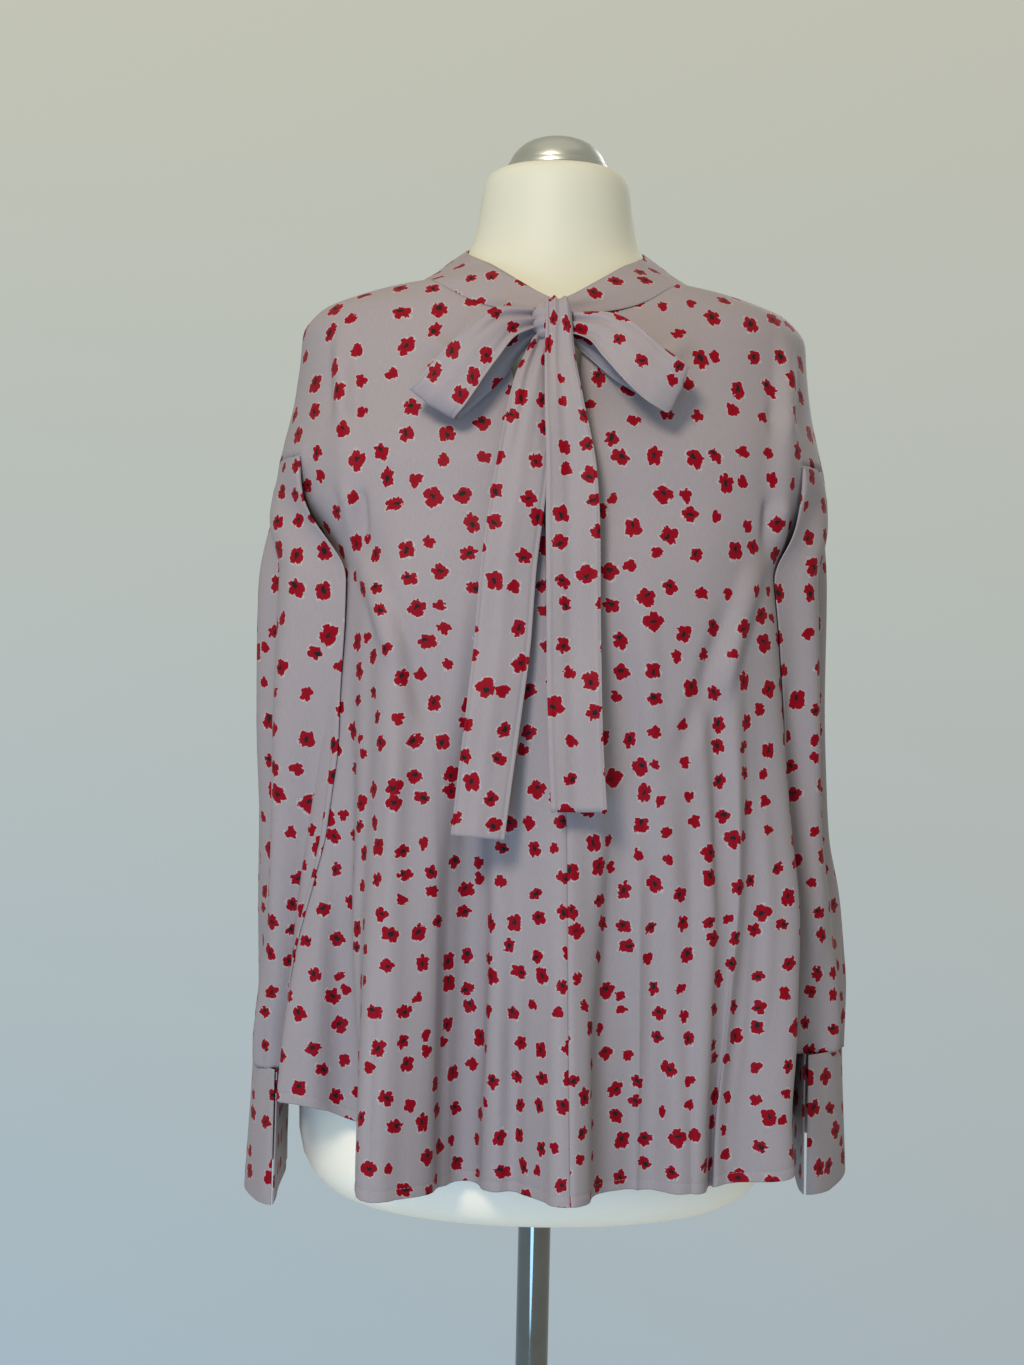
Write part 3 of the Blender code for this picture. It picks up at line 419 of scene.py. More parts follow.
def flatten_print(obj, shift):
    """Lays the cloth flat for its print: a UV map in metres, as its cut lay on the bolt."""
    deselect_all()
    obj.select_set(True)
    bpy.context.view_layer.objects.active = obj
    bpy.ops.object.mode_set(mode="EDIT")
    bpy.ops.mesh.select_all(action="SELECT")
    bpy.ops.uv.unwrap(method="CONFORMAL", margin=0.0)
    bpy.ops.object.mode_set(mode="OBJECT")
    mesh = obj.data
    uv = np.empty(len(mesh.loops) * 2, np.float32)
    mesh.uv_layers.active.data.foreach_get("uv", uv)
    uv = uv.reshape(-1, 2)
    mesh.calc_loop_triangles()
    loops = np.array([t.loops[:] for t in mesh.loop_triangles])
    verts = np.array([t.vertices[:] for t in mesh.loop_triangles])
    places = np.array([v.co for v in mesh.vertices])
    a, b, c = (places[verts[:, i]] for i in range(3))
    area = np.linalg.norm(np.cross(b - a, c - a), axis=1).sum()
    p, q, r = (uv[loops[:, i]] for i in range(3))
    flat = np.abs((q - p)[:, 0] * (r - p)[:, 1] - (q - p)[:, 1] * (r - p)[:, 0]).sum()
    uv = uv * math.sqrt(area / flat) + np.array(shift)
    mesh.uv_layers.active.data.foreach_set("uv", uv.astype(np.float32).ravel())


def grid_faces(rows, columns, closed=False):
    """Faces between neighbouring rows and columns of places. In a closed grid the last column
    joins the first."""
    return [(r * columns + c, r * columns + (c + 1) % columns,
             (r + 1) * columns + (c + 1) % columns, (r + 1) * columns + c)
            for r in range(rows - 1) for c in range(columns if closed else columns - 1)]


def smooth_mesh(name, points, faces):
    """A smooth mesh with its faces turned one way, which is outward where it is closed."""
    mesh = bpy.data.meshes.new(name)
    mesh.from_pydata([tuple(map(float, p)) for p in points], [], [list(map(int, f)) for f in faces])
    work = bmesh.new()
    work.from_mesh(mesh)
    bmesh.ops.recalc_face_normals(work, faces=work.faces)
    for face in work.faces:
        face.smooth = True
    work.to_mesh(mesh)
    work.free()
    return mesh


def in_scene(name, mesh):
    obj = bpy.data.objects.new(name, mesh)
    bpy.context.scene.collection.objects.link(obj)
    return obj


def cloth_piece(name, points, faces, away_from, shift, seam=(), wall=SHELL):
    """A sheet of the blouse's cloth, its faces turned away from a middle place. seam holds the
    point pairs where a tube is opened for its print."""
    mesh = smooth_mesh(name + "_crepe", points, faces)
    work = bmesh.new()
    work.from_mesh(mesh)
    vote = 0.0
    for face in work.faces:
        middle = face.calc_center_median()
        vote += face.normal.x * (middle.x - away_from[0]) + face.normal.y * (middle.y - away_from[1])
    if vote < 0:
        bmesh.ops.reverse_faces(work, faces=work.faces)
    pairs = {frozenset(pair) for pair in seam}
    for edge in work.edges:
        edge.seam = frozenset((edge.verts[0].index, edge.verts[1].index)) in pairs
    work.to_mesh(mesh)
    work.free()
    obj = in_scene(name + "_crepe", mesh)
    flatten_print(obj, shift)
    thickened = obj.modifiers.new("cloth wall", "SOLIDIFY")
    thickened.thickness = wall
    thickened.offset = 0.0
    thickened.use_even_offset = False
    return obj


def node(tree, kind, **settings):
    made = tree.nodes.new(kind)
    for name, value in settings.items():
        setattr(made, name, value)
    return made


def feed(tree, socket, value):
    """Sets a constant on a socket, or links another socket to it."""
    if isinstance(value, (tuple, int, float)):
        socket.default_value = value
    elif value is not None:
        tree.links.new(value, socket)


def sum_node(tree, operation, a, b=None, c=None, clamp=False):
    """One step of arithmetic between sockets or numbers."""
    made = node(tree, "ShaderNodeMath", operation=operation, use_clamp=clamp)
    for socket, value in zip(made.inputs, (a, b, c)):
        feed(tree, socket, value)
    return made.outputs[0]


def place_node(tree, operation, a, b):
    """One step of arithmetic between places, or a place made larger or smaller."""
    made = node(tree, "ShaderNodeVectorMath", operation=operation)
    feed(tree, made.inputs[0], a)
    feed(tree, made.inputs["Scale"] if operation == "SCALE" else made.inputs[1], b)
    return made.outputs[0]


def colour_mix(tree, share, a, b):
    made = node(tree, "ShaderNodeMix", data_type="RGBA")
    for i, value in ((0, share), (6, a), (7, b)):
        feed(tree, made.inputs[i], value)
    return made.outputs[2]


def split_up(tree, value, kind="ShaderNodeSeparateXYZ"):
    made = node(tree, kind)
    tree.links.new(value, made.inputs[0])
    return made.outputs


def stretched(tree, place, scale):
    made = node(tree, "ShaderNodeMapping")
    made.inputs["Scale"].default_value = scale
    tree.links.new(place, made.inputs["Vector"])
    return made.outputs[0]


def noise(tree, place, marks, detail=2.0, **settings):
    """Cloudy variation with about so many marks to the metre."""
    made = node(tree, "ShaderNodeTexNoise", **settings)
    made.inputs["Scale"].default_value = marks
    made.inputs["Detail"].default_value = detail
    tree.links.new(place, made.inputs["Vector"])
    return made.outputs


def bump(tree, shader, height, strength, distance):
    made = node(tree, "ShaderNodeBump")
    made.inputs["Strength"].default_value = strength
    made.inputs["Distance"].default_value = distance
    tree.links.new(height, made.inputs["Height"])
    tree.links.new(made.outputs[0], shader.inputs["Normal"])


def step_down(tree, value, at, soft):
    """1 below the edge, 0 above it."""
    scaled = sum_node(tree, "SUBTRACT", at + soft, value)
    return sum_node(tree, "DIVIDE", scaled, 2 * soft, clamp=True)


def squares(tree, a, b):
    return sum_node(tree, "MULTIPLY_ADD", a, a, sum_node(tree, "MULTIPLY", b, b))


def finish_of(name):
    """A new material with its node tree and its shader."""
    made = bpy.data.materials.new(name)
    made.use_nodes = True
    return made, made.node_tree, made.node_tree.nodes["Principled BSDF"]


GROUND = (0.288, 0.250, 0.266, 1)
PETAL_RED = (0.262, 0.0008, 0.0100, 1)
PETAL_DEEP = (0.140, 0.0005, 0.0055, 1)
PETAL_RIM = (0.62, 0.58, 0.59, 1)
FLOWER_BLACK = (0.012, 0.010, 0.012, 1)
FLOWER_SPACING = 0.0232
FLOWER_SCATTER = 0.60
SMALL_FLOWERS = 0.26
FIVE_PETALS_ABOVE = 0.45
PETAL_SMALLEST = 0.0046
PETAL_RANGE = 0.0031
PETAL_NOTCH = 0.34
PETAL_LEAN = 0.13
OUTLINE_MARKS = 330.0
OUTLINE_UNEVEN = 0.0036
PLAIN_FLOWERS = 0.30
MIDDLE_HALF_LENGTH = 0.00235
MIDDLE_HALF_WIDTH = 0.00140
MOTTLE_MARKS = 620.0
SLUB_MARKS = (1500.0, 160.0, 1.0)
WEAVE_MARKS = (3100.0, 3100.0, 1.0)
WEAVE_DEPTH = 0.00012


def flower_print(tree, uv):
    """The shares of petal, pale rim and black middle at each place of the cloth, and how far out it
    lies in its flower."""
    wobble = noise(tree, uv, OUTLINE_MARKS, 1.5, noise_dimensions="2D")["Color"]
    wobble = place_node(tree, "SUBTRACT", wobble, (0.5, 0.5, 0.5))
    uneven = place_node(tree, "ADD", uv, place_node(tree, "SCALE", wobble, OUTLINE_UNEVEN))
    cells = node(tree, "ShaderNodeTexVoronoi", voronoi_dimensions="2D", feature="F1")
    cells.inputs["Scale"].default_value = 1 / FLOWER_SPACING
    cells.inputs["Randomness"].default_value = FLOWER_SCATTER
    tree.links.new(uv, cells.inputs["Vector"])
    x, y = split_up(tree, place_node(tree, "SUBTRACT", uneven, cells.outputs["Position"]))[:2]
    chances = split_up(tree, cells.outputs["Color"], "ShaderNodeSeparateColor")
    size_chance, turn_chance, kind_chance = chances[:3]

    turn = sum_node(tree, "MULTIPLY", turn_chance, 2 * math.pi)
    sin, cos = sum_node(tree, "SINE", turn), sum_node(tree, "COSINE", turn)
    across = sum_node(tree, "MULTIPLY_ADD", x, cos, sum_node(tree, "MULTIPLY", y, sin))
    x_part = sum_node(tree, "MULTIPLY", x, sin)
    along = sum_node(tree, "SUBTRACT", sum_node(tree, "MULTIPLY", y, cos), x_part)
    squash = sum_node(tree, "MULTIPLY_ADD", kind_chance, 0.42, 1.0)
    along_wide = sum_node(tree, "MULTIPLY", along, squash)
    angle = sum_node(tree, "ARCTAN2", along_wide, across)
    far = sum_node(tree, "SQRT", squares(tree, across, along_wide))
    # Half the petal count is exactly 1.5, 2 or 2.5, so that the outline closes on itself
    many = sum_node(tree, "GREATER_THAN", kind_chance, FIVE_PETALS_ABOVE)
    many = sum_node(tree, "MULTIPLY", many, 0.5)
    is_small = sum_node(tree, "LESS_THAN", size_chance, SMALL_FLOWERS)
    fewer = sum_node(tree, "MULTIPLY", is_small, sum_node(tree, "ADD", many, 0.5))
    half_count = sum_node(tree, "SUBTRACT", sum_node(tree, "ADD", many, 2.0), fewer)
    lobes = sum_node(tree, "COSINE", sum_node(tree, "MULTIPLY_ADD", angle, half_count, turn))
    lobes = sum_node(tree, "POWER", sum_node(tree, "ABSOLUTE", lobes), 0.62)
    edge = sum_node(tree, "MULTIPLY_ADD", lobes, PETAL_NOTCH, 1 - PETAL_NOTCH)
    lean = sum_node(tree, "COSINE", sum_node(tree, "MULTIPLY_ADD", turn_chance, 9.0, angle))
    edge = sum_node(tree, "MULTIPLY_ADD", lean, PETAL_LEAN, edge)
    radius = sum_node(tree, "MULTIPLY_ADD", size_chance, PETAL_RANGE, PETAL_SMALLEST)
    relative = sum_node(tree, "DIVIDE", far, sum_node(tree, "MULTIPLY", edge, radius))
    petal = step_down(tree, relative, 1.0, 0.035)
    outside = sum_node(tree, "SUBTRACT", 1.0, petal)
    rim = sum_node(tree, "MULTIPLY", step_down(tree, relative, 1.12, 0.06), outside)

    middle_x = sum_node(tree, "MULTIPLY_ADD", kind_chance, 0.0030, -0.0012)
    middle_x = sum_node(tree, "SUBTRACT", across, middle_x)
    middle_x = sum_node(tree, "DIVIDE", middle_x, MIDDLE_HALF_LENGTH)
    middle_y = sum_node(tree, "DIVIDE", sum_node(tree, "ADD", along, 0.0005), MIDDLE_HALF_WIDTH)
    large = sum_node(tree, "GREATER_THAN", size_chance, PLAIN_FLOWERS)
    middle = step_down(tree, squares(tree, middle_x, middle_y), 1.0, 0.10)
    return petal, rim, sum_node(tree, "MULTIPLY", middle, large), relative


def printed_crepe():
    """Mauve grey crepe with scattered red flowers of three to five petals, the larger ones with a
    black middle."""
    made, tree, shader = finish_of("printed_crepe")
    uv = node(tree, "ShaderNodeUVMap", uv_map="UVMap").outputs[0]
    petal, rim, middle, relative = flower_print(tree, uv)
    mottle = noise(tree, uv, MOTTLE_MARKS, 3.0, noise_dimensions="2D")[0]
    slub = noise(tree, stretched(tree, uv, SLUB_MARKS), 1.0, noise_dimensions="2D")[0]
    shade = sum_node(tree, "MULTIPLY_ADD", slub, 0.16, 0.92)
    red = colour_mix(tree, sum_node(tree, "MULTIPLY", mottle, 0.6), PETAL_RED, PETAL_DEEP)
    inner_dark = sum_node(tree, "MULTIPLY", step_down(tree, relative, 0.45, 0.3), 0.35)
    red = colour_mix(tree, inner_dark, red, PETAL_DEEP)
    ground = place_node(tree, "SCALE", GROUND[:3], shade)
    ground = colour_mix(tree, sum_node(tree, "MULTIPLY", rim, 0.30), ground, PETAL_RIM)
    colour = colour_mix(tree, petal, ground, red)
    colour = colour_mix(tree, middle, colour, FLOWER_BLACK)
    tree.links.new(colour, shader.inputs["Base Color"])

    warp, weft = split_up(tree, stretched(tree, uv, WEAVE_MARKS))[:2]
    weave = sum_node(tree, "MULTIPLY", sum_node(tree, "SINE", warp), sum_node(tree, "SINE", weft))
    weave = sum_node(tree, "MULTIPLY_ADD", slub, 1.6, weave)
    bump(tree, shader, weave, 0.22, WEAVE_DEPTH)
    rough = sum_node(tree, "MULTIPLY_ADD", mottle, 0.10, 0.50)
    tree.links.new(rough, shader.inputs["Roughness"])
    shader.inputs["Specular IOR Level"].default_value = 0.08
    shader.inputs["Sheen Weight"].default_value = 0.02
    shader.inputs["Sheen Roughness"].default_value = 0.45
    shader.inputs["Sheen Tint"].default_value = (0.95, 0.92, 0.98, 1)
    made.diffuse_color = GROUND
    return made


crepe = printed_crepe()


def dress(obj, node_name):
    """Fixes a cloth piece to the form in place of its CAD node, and gives it the printed crepe."""
    obj.data.materials.append(crepe)
    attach(obj, "root")
    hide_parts(node_name)


NEAR_CENTRE_SEAM = (0.0, 0.0035, 0.008, 0.014)
NEAR_SIDE_SEAM = (0.982, 0.988, 0.993, 0.9970, 1.0)
PANEL_WIDTH = 0.26
SEAM_HALF_WIDTH = 0.0016
CENTRE_SEAM_DEPTH = 0.0009
SIDE_SEAM_DEPTH = 0.0008
Z_SLIT_FOOT = 1.206
# The last rows lie at these heights above the hem's edge
HEM_ROWS_START = 0.016
HEM_ROWS = (0.0120, 0.0090, HEM_DEPTH + 0.0006, HEM_DEPTH, HEM_DEPTH - 0.0006, 0.0040, 0.0010, 0.0)
STITCHED_ROW = HEM_ROWS.index(HEM_DEPTH) - len(HEM_ROWS)
HEM_GROOVE = 0.00030
HEM_GROOVE_HALF_WIDTH = 0.0008
HEM_DOUBLED = 0.00018
UNEVENNESS = 0.0005
PULLED_IN_LEFT = 0.019
PULLED_IN_RIGHT = 0.010
ARMHOLE_SMOOTHED = 0.030
SMOOTHING_ROUNDS = 30


def panel_shares(panel):
    """Columns of a panel, closer at its seams."""
    near_centre = NEAR_CENTRE_SEAM if panel else (0.0,)
    to_arm = np.linspace(0.020, ARM_SHARE, COLUMNS_TO_ARM)[:-1]
    past_arm = np.linspace(ARM_SHARE, NEAR_SIDE_SEAM[0], COLUMNS_PAST_ARM)
    half = [*near_centre, *to_arm, *past_arm, *NEAR_SIDE_SEAM[1:]]
    return np.array(half if panel else [-share for share in reversed(half[1:])] + half)


def seam_groove(from_seam, half_width):
    return np.exp(-(from_seam / half_width) ** 2)


def worn_shape(panel, shares, z, lower, hem=None):
    """Places of a panel with its creases, seams and slight waves. hem is given below the armhole."""
    share = np.broadcast_to(shares, z.shape)
    places = place_on(panel, share.ravel(), z.ravel(), lower.ravel()).reshape(*z.shape, 3)
    outward = grid_normals(places)
    if (outward[..., 0] * places[..., 0] + outward[..., 1] * places[..., 1]).mean() < 0:
        outward = -outward
    creases = CREASES_FRONT if panel else CREASES_BACK
    move = crease_out(creases, places[..., 0].ravel(), places[..., 2].ravel())
    move = CREASE_DEPTH * move.reshape(z.shape)
    lengthwise = 1.4 * share * (0.25 if panel else 0.28)
    calm = ease((1 - np.abs(share)) / 0.06)
    calm = calm * ease(np.abs(share) / 0.05) if panel else calm
    move = move * calm
    waves = slight_waves(lengthwise + 0.7 * panel, z, UNEVENNESS)
    move = move + waves * calm * ease((1.36 - z) / 0.10)
    if hem is not None:
        up = z - hem
        move = move - HEM_GROOVE * seam_groove(up - HEM_DEPTH, HEM_GROOVE_HALF_WIDTH)
        move = move + HEM_DOUBLED * (up < HEM_DEPTH)
    if panel:
        groove = seam_groove(share * PANEL_WIDTH, SEAM_HALF_WIDTH)
        move = move - CENTRE_SEAM_DEPTH * groove * (z < Z_SLIT_FOOT)
    groove = seam_groove((1 - np.abs(share)) * PANEL_WIDTH, SEAM_HALF_WIDTH)
    move = move - SIDE_SEAM_DEPTH * groove
    places = places + outward * (move + CLOTH_WALL / 2)[..., None]
    low = ease((0.98 - places[..., 2]) / 0.20) * ease((places[..., 0] - 0.09) / 0.08)
    places[..., 0] -= PULLED_IN_LEFT * low * ease((-places[..., 1] - 0.02) / 0.05)
    if panel < 0:
        low = ease((0.96 - places[..., 2]) / 0.16)
        places[..., 0] += PULLED_IN_RIGHT * ease(1 - np.abs(share - 0.54) / 0.10) * low
    return clear_of_form(places.reshape(-1, 3), FORM_CLEARANCE * 0.5)


def body_panel(name, panel, shift):
    """A front or the back: columns from the neck or armhole seam down to the hem."""
    shares = panel_shares(panel)
    side = np.full(len(shares), float(panel)) if panel else np.where(shares < 0, -1.0, 1.0)
    hem = hem_height(side, np.abs(shares) if panel else 2 - np.abs(shares))
    top = neck_height(panel, shares)
    upper_rows = np.arange(ROWS_ABOVE_ARMHOLE + 1) / ROWS_ABOVE_ARMHOLE
    upper_z = np.array([mix(top, Z_ARMHOLE, t ** (1 + 0.8 * np.abs(shares))) for t in upper_rows])
    start = underarm_height(shares)
    lower_rows = np.arange(ROWS_BELOW_ARMHOLE + 1) / ROWS_BELOW_ARMHOLE
    lower_z = [mix(start, hem + HEM_ROWS_START, t) for t in lower_rows] + [hem + up for up in HEM_ROWS]
    lower_z = np.array(lower_z)
    points = np.concatenate([
        worn_shape(panel, shares, upper_z, np.zeros_like(upper_z)),
        worn_shape(panel, shares, lower_z, lower_share(lower_z), hem),
    ])
    upper_index = np.arange(upper_z.size).reshape(upper_z.shape)
    lower_index = np.arange(lower_z.size).reshape(lower_z.shape) + upper_z.size
    to_arm = np.abs(shares) <= ARM_SHARE + 1e-9
    lower_index[0, to_arm] = upper_index[-1, to_arm]
    faces = np.concatenate([index.ravel()[np.array(grid_faces(*index.shape))]
                            for index in (upper_index, lower_index)])
    used = np.zeros(len(points), bool)
    used[np.unique(faces)] = True
    renumber = np.cumsum(used) - 1
    obj = cloth_piece(name, points[used], renumber[faces], (0.0, 0.0), shift)
    work = bmesh.new()
    work.from_mesh(obj.data)
    joined = [v for v in work.verts
              if not v.is_boundary and abs(v.co.z - Z_ARMHOLE) < ARMHOLE_SMOOTHED]
    for _ in range(SMOOTHING_ROUNDS):
        bmesh.ops.smooth_vert(work, verts=joined, factor=0.5,
                              use_axis_x=True, use_axis_y=True, use_axis_z=False)
    work.to_mesh(obj.data)
    work.free()
    dress(obj, name)
    return points[lower_index[STITCHED_ROW]]


stitch_lines = [
    body_panel("front_left", 1, shift=(0.31, 0.17)),
    body_panel("front_right", -1, shift=(1.83, 0.59)),
    body_panel("back", 0, shift=(3.07, 2.41)),
]


def thread():
    made, tree, shader = finish_of("mauve_thread")
    place = node(tree, "ShaderNodeTexCoord").outputs["Object"]
    twist = noise(tree, place, 2400.0)[0]
    colour = colour_mix(tree, twist, (0.30, 0.26, 0.28, 1), (0.42, 0.37, 0.40, 1))
    tree.links.new(colour, shader.inputs["Base Color"])
    shader.inputs["Roughness"].default_value = 0.6
    return made


STITCH_HALF = 0.00017
STITCH_LENGTH = 0.0021
STITCH_PITCH = 0.0029
STITCH_RINGS = (0.35, 1.0, 0.35)
STITCH_CORNERS = ((-1, -0.4), (1, -0.4), (0.7, 1), (-0.7, 1))


def unit(direction):
    return direction / np.linalg.norm(direction, axis=-1, keepdims=True)


def way_along(line):
    """The way gone from the first place of a line to each of its places."""
    return np.concatenate([[0], np.cumsum(np.linalg.norm(np.diff(line, axis=0), axis=1))])


def stitching(name, lines):
    """Machine stitches along lines of cloth: a joined mesh of short bars pinched at their ends."""
    bar = grid_faces(len(STITCH_RINGS), len(STITCH_CORNERS), closed=True) + [(3, 2, 1, 0), (8, 9, 10, 11)]
    points, faces = [], []
    for line in lines:
        way = way_along(line)
        for start in np.arange(STITCH_PITCH, way[-1] - STITCH_PITCH, STITCH_PITCH):
            at = start + STITCH_LENGTH * np.array([0, 0.5, 1])
            middle = np.stack([np.interp(at, way, line[:, k]) for k in range(3)], axis=1)
            along = unit(middle[2] - middle[0])
            out = unit(np.cross(along, (0.0, 0.0, 1.0)))
            out = out if np.dot(out[:2], middle[1][:2]) > 0 else -out
            up = np.cross(along, out)
            faces += [[len(points) + corner for corner in face] for face in bar]
            for place, size in zip(middle, STITCH_RINGS):
                for a, b in STITCH_CORNERS:
                    raised = SHELL / 2 + b * STITCH_HALF * size
                    points.append(place + up * a * STITCH_HALF * size + out * raised)
    obj = in_scene(name, smooth_mesh(name, points, faces))
    obj.data.materials.append(thread())
    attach(obj, "root")


stitching("hem_stitching", stitch_lines)


# Sleeves
# Long set-on sleeves of the same crepe, eased into a dropped shoulder seam and gathered into the
# cuffs. They hang empty and flat beside the body, in long soft folds.
SLEEVE_COLUMNS = 96
SLEEVE_ROWS = 110
SLEEVE_SQUARENESS = 2.3
SLEEVE_TAPER = 0.55
FOLD_DEPTH = 2.1
BESIDE_GAP = 0.0024
ARM_HALF_DEPTH = 0.08
SLEEVE_HEAD_SHARE = 0.20
CUFF_RIGHT = {"top": 0.8232, "bottom": 0.7270, "outer": 0.2180, "front": -0.064, "back": 0.050,
              "front_drop": 0.004}
CUFF_LEFT = {"top": 0.8425, "bottom": 0.7500, "outer": 0.2320, "front": -0.064, "back": 0.054,
             "front_drop": 0.011}
SLEEVE_RIGHT_SECTIONS = (
    ("z", "outer", "front", "back"),
    (0.820, 0.2165, -0.066, 0.052),
    (0.846, 0.2165, -0.072, 0.060),
    (0.877, 0.2135, -0.080, 0.072),
    (0.940, 0.2150, -0.090, 0.080),
    (1.000, 0.2165, -0.096, 0.084),
    (1.079, 0.2200, -0.100, 0.086),
    (1.153, 0.2215, -0.100, 0.088),
    (1.206, 0.2205, -0.096, 0.088),
    (1.240, 0.2175, -0.091, 0.086),
    (1.274, 0.2080, -0.086, 0.084),
)
SLEEVE_LEFT_SECTIONS = (
    ("z", "outer", "front", "back"),
    (0.840, 0.2335, -0.066, 0.056),
    (0.880, 0.2345, -0.070, 0.066),
    (0.913, 0.2320, -0.072, 0.074),
    (0.950, 0.2285, -0.074, 0.080),
    (1.000, 0.2195, -0.077, 0.085),
    (1.042, 0.2165, -0.080, 0.086),
    (1.104, 0.2135, -0.088, 0.088),
    (1.180, 0.2125, -0.094, 0.088),
    (1.250, 0.2105, -0.090, 0.086),
    (1.277, 0.2075, -0.086, 0.084),
)
SLEEVE_FOLDS = (
    ("share", "half_width", "out", "z_mid", "reach"),
    (0.06, 0.045, -0.0055, 1.13, 0.26),
    (0.13, 0.045, 0.0040, 1.02, 0.26),
    (0.19, 0.040, -0.0045, 0.92, 0.20),
    (0.90, 0.045, -0.0050, 1.10, 0.26),
    (0.96, 0.040, 0.0035, 0.94, 0.22),
    (0.83, 0.040, -0.0045, 0.90, 0.18),
    (0.10, 0.030, 0.0030, 0.86, 0.07),
    (0.01, 0.030, -0.0035, 0.86, 0.07),
)
# Gathers above the cuff: share round the sleeve, half width, size, and how far up they reach
CUFF_GATHERS = (
    ("share", "half_width", "out", "reach"),
    (0.020, 0.014, 0.0016, 0.050),
    (0.055, 0.016, -0.0022, 0.070),
    (0.095, 0.013, 0.0018, 0.045),
    (0.130, 0.015, -0.0020, 0.060),
    (0.165, 0.012, 0.0018, 0.040),
    (0.205, 0.015, -0.0022, 0.055),
    (0.245, 0.013, 0.0015, 0.040),
    (0.300, 0.014, -0.0016, 0.050),
    (0.700, 0.015, -0.0018, 0.050),
    (0.745, 0.013, 0.0018, 0.045),
    (0.790, 0.015, -0.0022, 0.065),
    (0.835, 0.013, 0.0018, 0.045),
    (0.875, 0.014, -0.0020, 0.060),
    (0.915, 0.013, 0.0018, 0.050),
    (0.960, 0.015, -0.0022, 0.070),
)


def beside_body(side, y, z):
    """How far out a sleeve or cuff lies at least, beside the cloth of the body."""
    y, z = np.broadcast_arrays(np.asarray(y, float), np.asarray(z, float))
    lower = mix(1.0, lower_share(z), np.minimum(np.abs(y) / ARM_HALF_DEPTH, 1.0) ** 2)
    sides = np.full(y.shape, float(side))
    front = cloth_ring(z, sides, "front", lower)
    back = cloth_ring(z, sides, "back", lower)
    deep = np.where(y < 0, front[1], back[1])
    wide, squareness = front[0], front[2]
    reach = (1 - np.minimum(np.abs(y) / (deep + CLOTH_WALL), 1.0) ** squareness) ** (1 / squareness)
    return (wide + CLOTH_WALL) * reach + BESIDE_GAP


def beside_cloth(side, y, z, fallback):
    """How far out the finished cloth of the body reaches at each place, found with level rays."""
    far = []
    for y_at, z_at, else_at in zip(y, z, fallback):
        best = None
        for tree in BODY_TREES:
            hit = tree.ray_cast((side * 0.34, y_at, z_at), (-side, 0.0, 0.0), 0.24)[0]
            if hit is not None and (best is None or abs(hit.x) > best):
                best = abs(hit.x)
        far.append(else_at if best is None else best)
    return np.array(far)


def rounded(j, squareness):
    """Across and along a rounded section at the share j of the way round, from the outer side."""
    cos, sin = np.cos(2 * math.pi * j), np.sin(2 * math.pi * j)
    power = 2 / squareness
    return np.copysign(np.abs(cos) ** power, cos), np.copysign(np.abs(sin) ** power, sin)


def armhole_loop(side):
    """The armhole seam from the outer arm through the front and underarm to the back."""
    quarter = SLEEVE_COLUMNS // 4
    places, unders, edges = [], [], []
    for j in range(SLEEVE_COLUMNS):
        part, step = divmod(j, quarter)
        t = step / quarter
        share = mix(1.0, ARM_SHARE, t) if part in (0, 2) else mix(ARM_SHARE, 1.0, t)
        panel = side if part < 2 else 0
        under = part in (1, 2)
        share = share if panel else share * side
        z = float(underarm_height(share)) if under else Z_ARMHOLE
        lower = float(lower_share(z)) if under else 0.0
        places.append(place_on(panel, np.array([share]), np.array([z]), np.array([lower]))[0])
        unders.append(under)
        edges.append(1 - min(abs(j - quarter), abs(j - 3 * quarter), quarter / 3) / (quarter / 3))
    return np.array(places), np.array(unders), np.array(edges)


bpy.context.view_layer.update()
GRAPH = bpy.context.evaluated_depsgraph_get()
BODY_TREES = [BVHTree.FromObject(bpy.data.objects[panel + "_crepe"], GRAPH)
              for panel in ("front_left", "front_right", "back")]
# Rows from the armhole (0) to the cuff (1), close together at both seams
SLEEVE_STATIONS = [0, 0.002, 0.005, 0.009, 0.014, *np.linspace(0.02, 0.975, SLEEVE_ROWS),
                   0.983, 0.990, 0.995, 1.0]
SLEEVE_MIDDLE = (0.2, 0.005)
TURNED_IN = 0.0006
TURNED_UP = 0.0012
HEAD_PUFF = 0.0014
SLEEVE_UNEVENNESS = 0.0006


def round_bump(j, share, half_width):
    """1 at a share of the way round a sleeve, falling to 0 at the half width on both sides."""
    near = np.abs((j - share + 0.5) % 1 - 0.5) / half_width
    return np.where(near < 1, 0.5 + 0.5 * np.cos(math.pi * near), 0.0)


def sleeve_folds(j, z, z_cuff):
    """How far the long folds and the gathers at the cuff move the sleeve out at each place."""
    out = np.zeros(len(j))
    for share, half_width, amount, z_mid, reach in SLEEVE_FOLDS[1:]:
        high = np.minimum(np.abs(z - z_mid) / reach, 1)
        out += FOLD_DEPTH * amount * round_bump(j, share, half_width) * (1 - high * high)
    for share, half_width, amount, reach in CUFF_GATHERS[1:]:
        up = z - z_cuff
        rising = (1 - ease(up / reach)) * ease(up / 0.002 + 0.25)
        out += amount * round_bump(j, share, half_width) * rising
    return out


